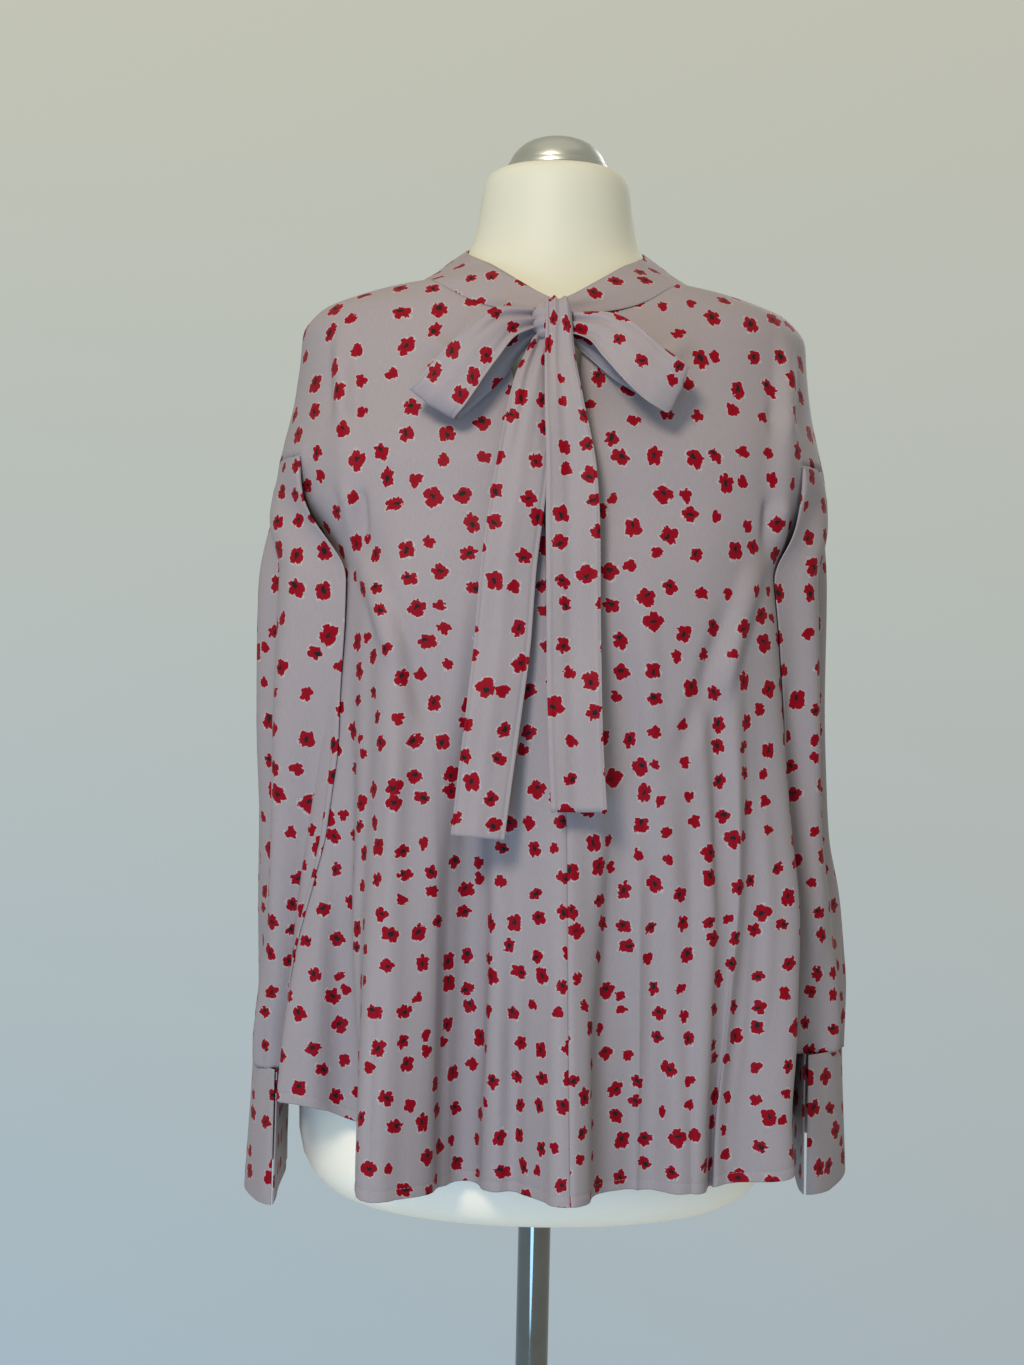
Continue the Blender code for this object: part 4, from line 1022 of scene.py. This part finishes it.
def sleeve(name, side, sections, z_cuff, shift):
    """A sleeve in rings: from its head, turned in under the armhole seam, to the cuff's top."""
    seam, under, edge = armhole_loop(side)
    j = np.arange(SLEEVE_COLUMNS) / SLEEVE_COLUMNS
    across, along = rounded(j, SLEEVE_SQUARENESS)
    from_middle = np.abs(along)
    outward = unit(seam * (1, 0.8, 0))
    off = mix(np.where(under, 0.0016, 0.0006), 0.0020, edge)
    start = seam + outward * off[:, None]
    start[:, 2] -= 0.0002
    turned_in = seam - outward * TURNED_IN
    turned_in[:, 2] += np.where(under, -TURNED_UP, TURNED_UP)
    rows = [turned_in]
    for t in SLEEVE_STATIONS:
        z = mix(start[:, 2], z_cuff - 0.0006, t)
        outer, front, back = (look_up(sections, column, z) for column in ("outer", "front", "back"))
        y = (front + back) / 2 - along * (back - front) / 2
        depth = (outer - beside_body(side, 0.0, z)) * (1 - SLEEVE_TAPER * along * along)
        depth = depth * (1 - 0.55 * ease((from_middle - 0.78) / 0.22))
        beside = beside_body(side, y, z)
        tucked = ease((from_middle - 0.30) / 0.50)
        meets = mix(0.0004, -0.0020, ease((from_middle - 0.85) / 0.15))
        beside = mix(beside, beside_cloth(side, y, z, beside) + meets, tucked)
        x = beside + (1 + across) / 2 * depth
        waves = slight_waves(j * 0.42 + side, z, SLEEVE_UNEVENNESS) * ease(t / 0.1)
        out = (sleeve_folds(j, z, z_cuff) + waves) * (across > -0.6)
        share = ease(t / SLEEVE_HEAD_SHARE)
        puff = HEAD_PUFF * np.exp(-((t - 0.035) / 0.03) ** 2) * ease(t / 0.01) * (~under)
        px = mix(start[:, 0], side * (x + out * across), share) + outward[:, 0] * puff
        py = mix(start[:, 1], y - out * along, share) + outward[:, 1] * puff
        rows.append(np.stack([px, py, z], axis=1))
    faces = grid_faces(len(rows), SLEEVE_COLUMNS, closed=True)
    inner = [r * SLEEVE_COLUMNS + SLEEVE_COLUMNS // 2 for r in range(len(rows))]
    middle = (side * SLEEVE_MIDDLE[0], SLEEVE_MIDDLE[1])
    obj = cloth_piece(name, np.concatenate(rows), faces, middle, shift, zip(inner, inner[1:]))
    dress(obj, name)


sleeve("sleeve_left", 1, SLEEVE_LEFT_SECTIONS, CUFF_LEFT["top"],
       shift=(4.40, 0.93))
sleeve("sleeve_right", -1, SLEEVE_RIGHT_SECTIONS, CUFF_RIGHT["top"],
       shift=(5.66, 1.37))


# Cuffs
# Deep straight cuffs of doubled crepe with an open slit, sewn to the gathered sleeve ends. Their
# edges are turned, so that the cuff stands a little away from the sleeve.
CUFF_SQUARENESS = 2.6
CUFF_LEVEL = 0.800
CUFF_SLIT_SHARE = 0.275
CUFF_SLIT_HALF = 0.020
CUFF_FLARE = 0.0035
CUFF_COLUMNS = 110
CUFF_ROWS = 34
CUFF_WALL = 0.0011
CUFF_EDGE = 0.0004


def cuff(name, side, sizes, shift):
    """A cuff from one side of its slit round to the other."""
    j = mix(CUFF_SLIT_SHARE + CUFF_SLIT_HALF, 1 + CUFF_SLIT_SHARE - CUFF_SLIT_HALF,
            np.arange(CUFF_COLUMNS + 1) / CUFF_COLUMNS)
    across, along = rounded(j, CUFF_SQUARENESS)
    y = (sizes["front"] + sizes["back"]) / 2 - along * (sizes["back"] - sizes["front"]) / 2
    inner = beside_body(side, y, CUFF_LEVEL)
    base = beside_body(side, 0.0, CUFF_LEVEL)
    rows = []
    for t in np.arange(CUFF_ROWS + 1) / CUFF_ROWS:
        z = mix(sizes["top"] - 0.0002, sizes["bottom"], t)
        outer = sizes["outer"] + CUFF_FLARE * t
        depth = (outer - base) * (1 - SLEEVE_TAPER * along * along)
        x = inner + (1 + across) / 2 * depth
        wave = 0.0007 * np.sin(j * 23 + 1.1) * np.sin(t * 2.6 + 0.4) + 0.0005 * np.sin(j * 41 + 4 * t)
        wave = wave - 0.0007 * seam_groove(t * (sizes["top"] - sizes["bottom"]), SEAM_HALF_WIDTH)
        hangs = sizes["front_drop"] * t * np.clip(-y / 0.05, -1, 1)
        rows.append(np.stack([side * (x + wave * across), y - wave * along, z - hangs], axis=1))
    middle = (side * (sizes["outer"] - 0.012), 0.0)
    faces = grid_faces(CUFF_ROWS + 1, CUFF_COLUMNS + 1)
    obj = cloth_piece(name, np.concatenate(rows), faces, middle, shift, wall=CUFF_WALL)
    turned = obj.modifiers.new("turned edge", "BEVEL")
    turned.width = CUFF_EDGE
    turned.segments = 2
    turned.limit_method = "ANGLE"
    turned.angle_limit = math.radians(50)
    dress(obj, name)


cuff("cuff_left", 1, CUFF_LEFT, shift=(6.21, 2.09))
cuff("cuff_right", -1, CUFF_RIGHT, shift=(6.93, 3.11))


# Neck band
# A soft band of doubled crepe cut on the bias and sewn to the neck edge. It stands up round the
# back of the neck, comes down to a point in front and runs on into the tie.
BAND_UPPER = (
    ("share", "x", "y", "z"),
    (0.00, 0.003, -0.1020, 1.3880),
    (0.12, 0.012, -0.0960, 1.3930),
    (0.30, 0.026, -0.0850, 1.4030),
    (0.55, 0.044, -0.0660, 1.4170),
    (0.80, 0.0585, -0.0380, 1.4300),
    (1.00, 0.0675, -0.0040, 1.4420),
    (1.35, 0.0600, 0.0340, 1.4520),
    (1.70, 0.0350, 0.0580, 1.4610),
    (2.00, 0.000, 0.0670, 1.4640),
)
BAND_GAP = 0.0003
BAND_GAP_FRONT = 0.0012
BAND_FRONT_SHARE = 0.4
BAND_BULGE = 0.0018
BAND_AT_KNOT = (0.004, -0.1104, 1.3700)
BAND_ROWS = 18
BAND_COLUMNS = 70
BAND_WALL = 0.0010
LEVEL = np.array([1.0, 1.0, 0.0])


def band_lower(side, share):
    """The neck seam under the band, from centre front (0) through the side (1) to the back (2)."""
    zero = np.array([0.0])
    if share <= 1:
        centre = float(look_up(CENTRE_FRONT, "x", Z_NECK_FRONT)) * side
        edge = (centre + float(look_up(CENTRE_FRONT, "slit_half", Z_NECK_FRONT))) / NECK_HALF_LENGTH
        along = (share - edge) / (1 - edge)
        if along >= 0:
            return place_on(side, np.array([along]), neck_height(side, np.array([along])), zero)[0]
        first = place_on(side, zero, neck_height(side, zero), zero)[0]
        knot = np.array(BAND_AT_KNOT) * (side, 1, 1)
        return mix(first, knot, ease(min(-along * (1 - edge) / edge, 1.0)))
    back = np.array([side * (2 - share)])
    return place_on(0, back, neck_height(0, back), zero)[0]


def neck_band():
    """The band in columns from the front round the wearer's right, the back and the left."""
    shares = [2 * i / BAND_COLUMNS for i in range(BAND_COLUMNS + 1)]
    walk = [(-1, share) for share in shares] + [(1, share) for share in reversed(shares[:-1])]
    columns = []
    for i, (side, share) in enumerate(walk):
        lower = band_lower(side, share)
        upper = np.array([float(look_up(BAND_UPPER, axis, share)) for axis in ("x", "y", "z")])
        upper[0] *= side
        extra = BAND_GAP_FRONT * float(ease(1 - share / BAND_FRONT_SHARE))
        lower = lower + unit(upper - lower) * (BAND_GAP + extra) + unit(lower * LEVEL) * (extra + 0.0007)
        column = []
        for t in (np.arange(BAND_ROWS + 1) / BAND_ROWS) ** 1.15:
            point = mix(lower, upper, t)
            pleat = 0.0007 * math.sin(9 * t + 1.5 * side) * float(ease(1 - share / 0.55))
            roll = 0.0006 * math.sin(i * 0.21) * t
            column.append(point + unit(point * LEVEL) * (BAND_BULGE * math.sin(math.pi * t) + pleat + roll))
        columns.append(clear_of_form(np.array(column), FORM_CLEARANCE * 0.8))
    width = BAND_ROWS + 1
    faces = [(i * width + r, (i + 1) * width + r, (i + 1) * width + r + 1, i * width + r + 1)
             for i in range(len(walk) - 1) for r in range(BAND_ROWS)]
    obj = cloth_piece("neck_band", np.concatenate(columns), faces, (0.0, 0.0), (7.77, 0.45), wall=BAND_WALL)
    dress(obj, "neck_band")


neck_band()


# Tie
# The band's two long ends, each a flat tube of crepe about 38 mm wide with pressed edges, tied in a
# bow: two open loops, a small wrapped knot and two hanging ends cut straight across.
LOOP_RIGHT_RIBBON = (
    ("x", "y", "z", "wide_x", "wide_y", "wide_z"),
    (-0.0150, -0.1215, 1.3705, 0.0010, -0.0010, -0.0070),
    (-0.0350, -0.1350, 1.3650, 0.0060, -0.0020, -0.0110),
    (-0.0500, -0.1450, 1.3500, 0.0085, -0.0030, -0.0135),
    (-0.0660, -0.1500, 1.3300, 0.0115, -0.0030, -0.0135),
    (-0.0790, -0.1500, 1.3130, 0.0145, -0.0020, -0.0115),
    (-0.0865, -0.1440, 1.3045, 0.0160, 0.0000, -0.0095),
    (-0.0840, -0.1365, 1.3060, 0.0160, 0.0000, -0.0100),
    (-0.0700, -0.1330, 1.3190, 0.0145, 0.0010, -0.0120),
    (-0.0500, -0.1290, 1.3380, 0.0120, 0.0010, -0.0130),
    (-0.0330, -0.1220, 1.3550, 0.0080, 0.0010, -0.0110),
    (-0.0140, -0.1160, 1.3665, 0.0010, 0.0000, -0.0070),
)
LOOP_LEFT_RIBBON = (
    ("x", "y", "z", "wide_x", "wide_y", "wide_z"),
    (0.0060, -0.1220, 1.3675, 0.0000, -0.0020, -0.0075),
    (0.0270, -0.1350, 1.3630, -0.0050, -0.0040, -0.0110),
    (0.0420, -0.1450, 1.3520, -0.0090, -0.0050, -0.0140),
    (0.0580, -0.1520, 1.3360, -0.0100, -0.0050, -0.0150),
    (0.0720, -0.1530, 1.3240, -0.0090, -0.0030, -0.0160),
    (0.0850, -0.1470, 1.3170, -0.0070, 0.0000, -0.0165),
    (0.0850, -0.1385, 1.3190, -0.0070, 0.0010, -0.0165),
    (0.0720, -0.1340, 1.3290, -0.0090, 0.0010, -0.0160),
    (0.0530, -0.1300, 1.3410, -0.0110, 0.0010, -0.0150),
    (0.0320, -0.1230, 1.3540, -0.0080, 0.0010, -0.0120),
    (0.0050, -0.1170, 1.3665, 0.0000, 0.0000, -0.0070),
)
END_RIGHT_RIBBON = (
    ("x", "y", "z", "wide_x", "wide_y", "wide_z"),
    (-0.0080, -0.1210, 1.3580, 0.0085, 0.0010, 0.0000),
    (-0.0155, -0.1370, 1.3250, 0.0140, 0.0015, 0.0000),
    (-0.0195, -0.1480, 1.2850, 0.0175, 0.0015, -0.0010),
    (-0.0250, -0.1570, 1.2400, 0.0190, 0.0010, -0.0010),
    (-0.0305, -0.1620, 1.1900, 0.0193, 0.0010, -0.0010),
    (-0.0335, -0.1655, 1.1400, 0.0194, 0.0015, -0.0010),
    (-0.0385, -0.1700, 1.0900, 0.0190, 0.0015, -0.0015),
    (-0.0435, -0.1735, 1.0450, 0.0186, 0.0015, -0.0015),
    (-0.0475, -0.1765, 1.0060, 0.0182, 0.0015, -0.0015),
)
END_LEFT_RIBBON = (
    ("x", "y", "z", "wide_x", "wide_y", "wide_z"),
    (0.0000, -0.1150, 1.3834, 0.0075, 0.0000, 0.0000),
    (0.0000, -0.1240, 1.3836, 0.0080, 0.0000, 0.0000),
    (0.0005, -0.1305, 1.3790, 0.0088, 0.0000, 0.0000),
    (0.0010, -0.1325, 1.3680, 0.0092, 0.0000, 0.0000),
    (0.0020, -0.1370, 1.3450, 0.0105, 0.0000, 0.0000),
    (0.0055, -0.1490, 1.3100, 0.0135, 0.0005, 0.0000),
    (0.0115, -0.1580, 1.2600, 0.0175, 0.0010, 0.0000),
    (0.0135, -0.1640, 1.2100, 0.0188, 0.0010, 0.0000),
    (0.0150, -0.1690, 1.1500, 0.0187, 0.0010, 0.0000),
    (0.0170, -0.1750, 1.0900, 0.0187, 0.0000, 0.0000),
    (0.0210, -0.1800, 1.0250, 0.0189, 0.0000, 0.0005),
)
TIE_THICK = 0.0012
TIE_AROUND = 64
TIE_SQUARENESS = 3.0
TIE_UNEVENNESS = 0.0006


def lay_print(mesh, places):
    """A UV map with a place of the print for each point."""
    layer = mesh.uv_layers.new(name="UVMap")
    for loop in mesh.loops:
        layer.data[loop.index].uv = places[loop.vertex_index]
    return layer.data


def tie_lift(t, way, gathered, crease, pleats, pressed):
    """How far the tie stands out of its flat face, at t from edge (-1) to edge (1)."""
    smooth_part = 1 - gathered
    lift = crease * (1 - abs(t)) * smooth_part
    lift += pleats * math.sin(t * 7.2 + 0.6) * gathered
    lift += 0.5 * pleats * math.sin(t * 12.5 + 2.1) * gathered ** 0.5 * (1 - 0.6 * gathered)
    lift += pressed * math.exp(-((t + 0.12) / 0.16) ** 2) * smooth_part
    lift -= 0.4 * pressed * math.exp(-((abs(t) - 0.86) / 0.05) ** 2)
    return lift + TIE_UNEVENNESS * math.sin(way * 55 + t * 1.6) * smooth_part


def tie_strip(name, table, rows, shift, length, crease, pleats, pleat_reach, held="hung", pressed=0.0010):
    """A pressed tube of cloth along a path. Pleats gather it where it goes into the knot, for a
    folded loop at both its ends."""
    values = {n: np.array([row[i] for row in table[1:]], float) for i, n in enumerate(table[0])}
    stations = np.arange(len(table) - 1, dtype=float)
    at = np.linspace(0, stations[-1], rows + 1)
    middle = np.stack([smooth(stations, values[n], at) for n in ("x", "y", "z")], axis=1)
    wide = np.stack([smooth(stations, values[n], at) for n in ("wide_x", "wide_y", "wide_z")], axis=1)
    face = unit(np.cross(unit(wide), unit(np.gradient(middle, axis=0))))
    for i in range(1, len(face)):
        if np.dot(face[i], face[i - 1]) < 0:
            face[i] = -face[i]
    if face[0][1] > 0:
        face = -face
    way = way_along(middle)
    from_end = np.minimum(way, way[-1] - way) if held == "folded" else way
    gathered = 1 - ease(from_end / pleat_reach)
    full = float(np.linalg.norm(wide, axis=1).max())
    across, through = rounded(np.arange(TIE_AROUND) / TIE_AROUND, TIE_SQUARENESS)
    points, print_places = [], []
    for r in range(rows + 1):
        half_thick = TIE_THICK / 2 * (1.0 + 0.9 * gathered[r])
        for t, out in zip(across, through):
            lift = tie_lift(t, way[r], gathered[r], crease, pleats, pressed)
            points.append(middle[r] + wide[r] * t + face[r] * (lift + half_thick * out))
            round_way = t * full if out >= 0 else 3 * full - t * full
            print_places.append((round_way + shift[0], way[r] + shift[1]))
    faces = grid_faces(rows + 1, TIE_AROUND, closed=True)
    for first in (0, rows * TIE_AROUND):
        for c in range(TIE_AROUND // 2):
            corners = (c, c + 1, TIE_AROUND - c - 1, (TIE_AROUND - c) % TIE_AROUND)
            faces.append(tuple(dict.fromkeys(first + corner for corner in corners)))
    mesh = smooth_mesh(name, points, faces)
    laid = lay_print(mesh, print_places)
    for polygon in mesh.polygons:
        nearest = min(laid[i].uv[0] for i in polygon.loop_indices)
        for i in polygon.loop_indices:
            if laid[i].uv[0] - nearest > 2 * full:
                laid[i].uv[0] -= 4 * full
    dress(in_scene(name + "_crepe", mesh), name)


LOOP_PLEATS = {"crease": 0.0008, "pleats": 0.0021, "pleat_reach": 0.060, "held": "folded"}
END_PLEATS = {"crease": 0.0016, "pleat_reach": 0.10, "pressed": 0.0016}
tie_strip("bow_loop_left", LOOP_LEFT_RIBBON, rows=120, shift=(8.31, 0.66), length=0.210, **LOOP_PLEATS)
tie_strip("bow_loop_right", LOOP_RIGHT_RIBBON, rows=120, shift=(8.77, 1.42), length=0.213, **LOOP_PLEATS)
tie_strip("tie_end_left", END_LEFT_RIBBON, rows=150, shift=(9.13, 0.28), length=0.377,
          pleats=0.0014, **END_PLEATS)
tie_strip("tie_end_right", END_RIGHT_RIBBON, rows=140, shift=(9.58, 1.07), length=0.362,
          pleats=0.0018, **END_PLEATS)

KNOT_SECTIONS = (
    ("z", "half_width", "half_depth", "y"),
    (1.3550, 0.0045, 0.0030, -0.1215),
    (1.3565, 0.0085, 0.0058, -0.1215),
    (1.3600, 0.0112, 0.0080, -0.1215),
    (1.3660, 0.0130, 0.0096, -0.1220),
    (1.3730, 0.0130, 0.0096, -0.1215),
    (1.3790, 0.0108, 0.0078, -0.1200),
    (1.3815, 0.0080, 0.0055, -0.1195),
    (1.3828, 0.0040, 0.0028, -0.1190),
)
KNOT_X = -0.0045
KNOT_MIDDLE = 1.369
KNOT_ROWS = 40
KNOT_COLUMNS = 96


def knot():
    """The wrapped middle of the bow: cloth drawn round in soft, slanting pleats."""
    points, print_places = [], []
    for z in np.linspace(KNOT_SECTIONS[1][0], KNOT_SECTIONS[-1][0], KNOT_ROWS + 1):
        half_width, half_depth, y = (float(look_up(KNOT_SECTIONS, column, z))
                                     for column in ("half_width", "half_depth", "y"))
        for c in range(KNOT_COLUMNS):
            angle = 2 * math.pi * c / KNOT_COLUMNS
            slant = (z - KNOT_MIDDLE) * 520 + 1.1 * math.sin(angle)
            pleat = 1 + 0.055 * math.sin(slant * 1.35 + 2 * math.sin(angle)) + 0.02 * math.sin(3 * slant)
            points.append((KNOT_X + half_width * pleat * math.cos(angle),
                           y + half_depth * pleat * math.sin(angle), z))
            print_places.append((0.013 * angle + 10.2, z * 1.2))
    faces = grid_faces(KNOT_ROWS + 1, KNOT_COLUMNS, closed=True)
    faces.append(tuple(reversed(range(KNOT_COLUMNS))))
    faces.append(tuple(KNOT_ROWS * KNOT_COLUMNS + c for c in range(KNOT_COLUMNS)))
    mesh = smooth_mesh("tie_knot", points, faces)
    lay_print(mesh, print_places)
    obj = in_scene("tie_knot_crepe", mesh)
    dress(obj, "tie_knot")


knot()


# Dress form
# A limbless moulded torso with a smooth cream skin, a polished domed cap on the neck, and a chrome
# pole in a heavy round base.
ROUND_SIDES = 64


def stacked(name, sections):
    """A round piece drawn up from a circle, ring by ring, each ring resized to its section."""
    deselect_all()
    z, half_width, front, back = sections[0]
    bpy.ops.mesh.primitive_circle_add(vertices=ROUND_SIDES, radius=1.0, fill_type="NGON",
                                      location=(0, 0, 0))
    obj = bpy.context.object
    obj.name = name + "_finish"
    obj.scale = (half_width, (front + back) / 2, 1)
    obj.location = (0, (back - front) / 2, z)
    bpy.ops.object.transform_apply(location=True, rotation=True, scale=True)
    bpy.ops.object.mode_set(mode="EDIT")
    bpy.ops.mesh.select_all(action="SELECT")
    for next_z, next_half_width, next_front, next_back in sections[1:]:
        bpy.ops.mesh.extrude_region_move(TRANSFORM_OT_translate={"value": (0, 0, next_z - z)})
        middle = (back - front) / 2
        bpy.ops.transform.resize(
            value=(next_half_width / half_width, (next_front + next_back) / (front + back), 1),
            center_override=(0, middle, next_z),
        )
        bpy.ops.transform.translate(value=(0, (next_back - next_front) / 2 - middle, 0))
        z, half_width, front, back = next_z, next_half_width, next_front, next_back
    bpy.ops.mesh.select_all(action="SELECT")
    bpy.ops.mesh.normals_make_consistent(inside=False)
    bpy.ops.object.mode_set(mode="OBJECT")
    bpy.ops.object.shade_smooth_by_angle(angle=math.radians(50))
    return obj


def finish_hard(obj, node_name, material):
    obj.data.materials.clear()
    obj.data.materials.append(material)
    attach(obj, "root")
    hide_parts(node_name)


def moulded_skin():
    """Smooth plastic, cream at the neck, with painted light low down: whiter towards the bottom, where the
    light from below falls.
    """
    made, tree, shader = finish_of("cream_skin")
    place = node(tree, "ShaderNodeTexCoord").outputs["Object"]
    cloudy = noise(tree, place, 9.0)[0]
    cream = colour_mix(tree, cloudy, (0.560, 0.545, 0.440, 1), (0.590, 0.575, 0.480, 1))
    # Painted light: the whiter colour low down stands in for the light from below; higher up the skin is
    # plain cream.
    above_painted_light = sum_node(tree, "MULTIPLY_ADD", split_up(tree, place)[2], 3.0, -2.5, clamp=True)
    skin = colour_mix(tree, above_painted_light, (0.920, 0.850, 0.740, 1), cream)
    tree.links.new(skin, shader.inputs["Base Color"])
    bump(tree, shader, noise(tree, place, 700.0)[0], 0.05, 0.0003)
    rough = sum_node(tree, "MULTIPLY_ADD", cloudy, 0.12, 0.52)
    tree.links.new(rough, shader.inputs["Roughness"])
    return made


torso = stacked("form_torso", FORM_SECTIONS[1:])
rounding = torso.modifiers.new("rounding", "SUBSURF")
rounding.levels = rounding.render_levels = 1
finish_hard(torso, "form_torso", moulded_skin())


def polished_chrome(name, darker, lighter, smoothest):
    """Plated metal with faint wiping marks."""
    made, tree, shader = finish_of(name)
    shader.inputs["Metallic"].default_value = 1.0
    marks = noise(tree, node(tree, "ShaderNodeTexCoord").outputs["Object"], 60.0, 4.0)[0]
    tree.links.new(colour_mix(tree, marks, darker, lighter), shader.inputs["Base Color"])
    rough = sum_node(tree, "MULTIPLY_ADD", marks, 0.10, smoothest)
    tree.links.new(rough, shader.inputs["Roughness"])
    return made


chrome = polished_chrome("satin_chrome", (0.46, 0.46, 0.43, 1), (0.52, 0.52, 0.49, 1), 0.30)
dark_chrome = polished_chrome("dark_chrome", (0.20, 0.19, 0.17, 1), (0.25, 0.24, 0.22, 1), 0.03)
CAP_RINGS = (
    ("z", "radius"),
    (1.5048, 0.0384),
    (1.5052, 0.0390),
    (1.5086, 0.0390),
    (1.5091, 0.0386),
    (1.5094, 0.0368),
    (1.5125, 0.0365),
    (1.5170, 0.0342),
    (1.5208, 0.0310),
    (1.5242, 0.0272),
    (1.5268, 0.0230),
    (1.5288, 0.0180),
    (1.5301, 0.0120),
    (1.5308, 0.0060),
    (1.5310, 0.0020),
)
POLE_RINGS = (("z", "radius"), (0.0203, 0.0125), (0.0210, 0.0125), (0.7157, 0.0125))
BASE_RINGS = (
    ("z", "radius"),
    (0.0000, 0.1530),
    (0.0004, 0.1550),
    (0.0035, 0.1580),
    (0.0070, 0.1550),
    (0.0090, 0.1450),
    (0.0110, 0.0900),
    (0.0140, 0.0320),
    (0.0190, 0.0304),
    (0.0200, 0.0296),
)
for part, rings, metal in (("form_neck_cap", CAP_RINGS, chrome), ("form_pole", POLE_RINGS, dark_chrome),
                           ("form_base", BASE_RINGS, dark_chrome)):
    turned = stacked(part, [(z, radius, radius, radius) for z, radius in rings[1:]])
    finish_hard(turned, part, metal)


# Studio
# A plain pale floor in even, pale air, warmer above and cooler below, with a soft window light from
# high on the wearer's right, three weaker lamps, and the camera.
def studio_surface():
    made, tree, shader = finish_of("studio_pale")
    cloudy = noise(tree, node(tree, "ShaderNodeTexCoord").outputs["Object"], 0.8)[0]
    pale = colour_mix(tree, cloudy, (0.58, 0.60, 0.58, 1), (0.62, 0.64, 0.62, 1))
    tree.links.new(pale, shader.inputs["Base Color"])
    shader.inputs["Roughness"].default_value = 0.9
    return made


FLOOR_RADIUS = 1.55
FLOOR_UNDER = 0.001
deselect_all()
bpy.ops.mesh.primitive_circle_add(vertices=128, radius=FLOOR_RADIUS, fill_type="NGON",
                                  location=(0, 0, -FLOOR_UNDER))
floor = bpy.context.object
floor.name = "floor"
floor.data.materials.append(studio_surface())

LIGHTS = (
    ("name", "place", "size", "watts", "colour", "aimed_at"),
    ("high_window_light", (-0.65, -1.90, 2.30), 0.6, 34.0, (1.0, 0.89, 0.74), (0.0, 0.0, 1.35)),
    ("low_front_light", (-0.45, -1.60, 0.48), 0.8, 10.0, (0.30, 0.60, 1.0), (0.0, 0.0, 0.70)),
    ("ceiling_light", (0.0, -0.2, 3.3), 2.4, 4.0, (1.0, 0.93, 0.80), (0.0, 0.0, 1.9)),
    ("back_light", (1.4, 2.4, 2.4), 1.6, 14.0, (0.95, 0.98, 1.0), (0.0, 0.0, 1.1)),
)
for light_name, place, size, watts, colour, aimed_at in LIGHTS[1:]:
    lamp = bpy.data.lights.new(light_name, "AREA")
    lamp.shape = "DISK"
    lamp.size = size
    lamp.energy = watts
    lamp.color = colour
    lamp_object = bpy.data.objects.new(light_name, lamp)
    lamp_object.location = place
    aim = Vector(aimed_at) - lamp_object.location
    lamp_object.rotation_euler = aim.to_track_quat("-Z", "Y").to_euler()
    bpy.context.scene.collection.objects.link(lamp_object)
world = bpy.data.worlds.new("studio_air")
world.use_nodes = True
air = world.node_tree
direction = node(air, "ShaderNodeSeparateXYZ")
air.links.new(node(air, "ShaderNodeTexCoord").outputs["Generated"], direction.inputs[0])
height = sum_node(air, "MULTIPLY_ADD", direction.outputs[2], 1.5, 0.5, clamp=True)
aside = sum_node(air, "MULTIPLY_ADD", direction.outputs[0], 0.8, 0.5, clamp=True)
below = colour_mix(air, aside, (0.370, 0.500, 0.600, 1), (0.390, 0.425, 0.425, 1))
above = colour_mix(air, aside, (0.560, 0.565, 0.465, 1), (0.505, 0.510, 0.435, 1))
air.links.new(colour_mix(air, height, below, above), air.nodes["Background"].inputs[0])
air.nodes["Background"].inputs[1].default_value = 1.0
bpy.context.scene.world = world
bpy.context.scene.view_settings.view_transform = "Standard"

PHOTO_METRES_PER_PIXEL = 0.00077
PHOTO_HEIGHT = 1365
CAMERA_AWAY = 1.5
CAMERA_ASIDE = -0.0264
CAMERA_HEIGHT = 1.112
CAMERA_ROLL = math.radians(1.25)
SENSOR_WIDTH = 36.0
camera_data = bpy.data.cameras.new("camera")
camera_data.sensor_width = SENSOR_WIDTH
camera_data.sensor_fit = "AUTO"
camera_data.lens = SENSOR_WIDTH * CAMERA_AWAY / (PHOTO_HEIGHT * PHOTO_METRES_PER_PIXEL)
camera = bpy.data.objects.new("camera", camera_data)
camera.location = (CAMERA_ASIDE, -CAMERA_AWAY, CAMERA_HEIGHT)
camera.rotation_euler = (math.pi / 2, -CAMERA_ROLL, 0)
bpy.context.scene.collection.objects.link(camera)
bpy.context.scene.camera = camera
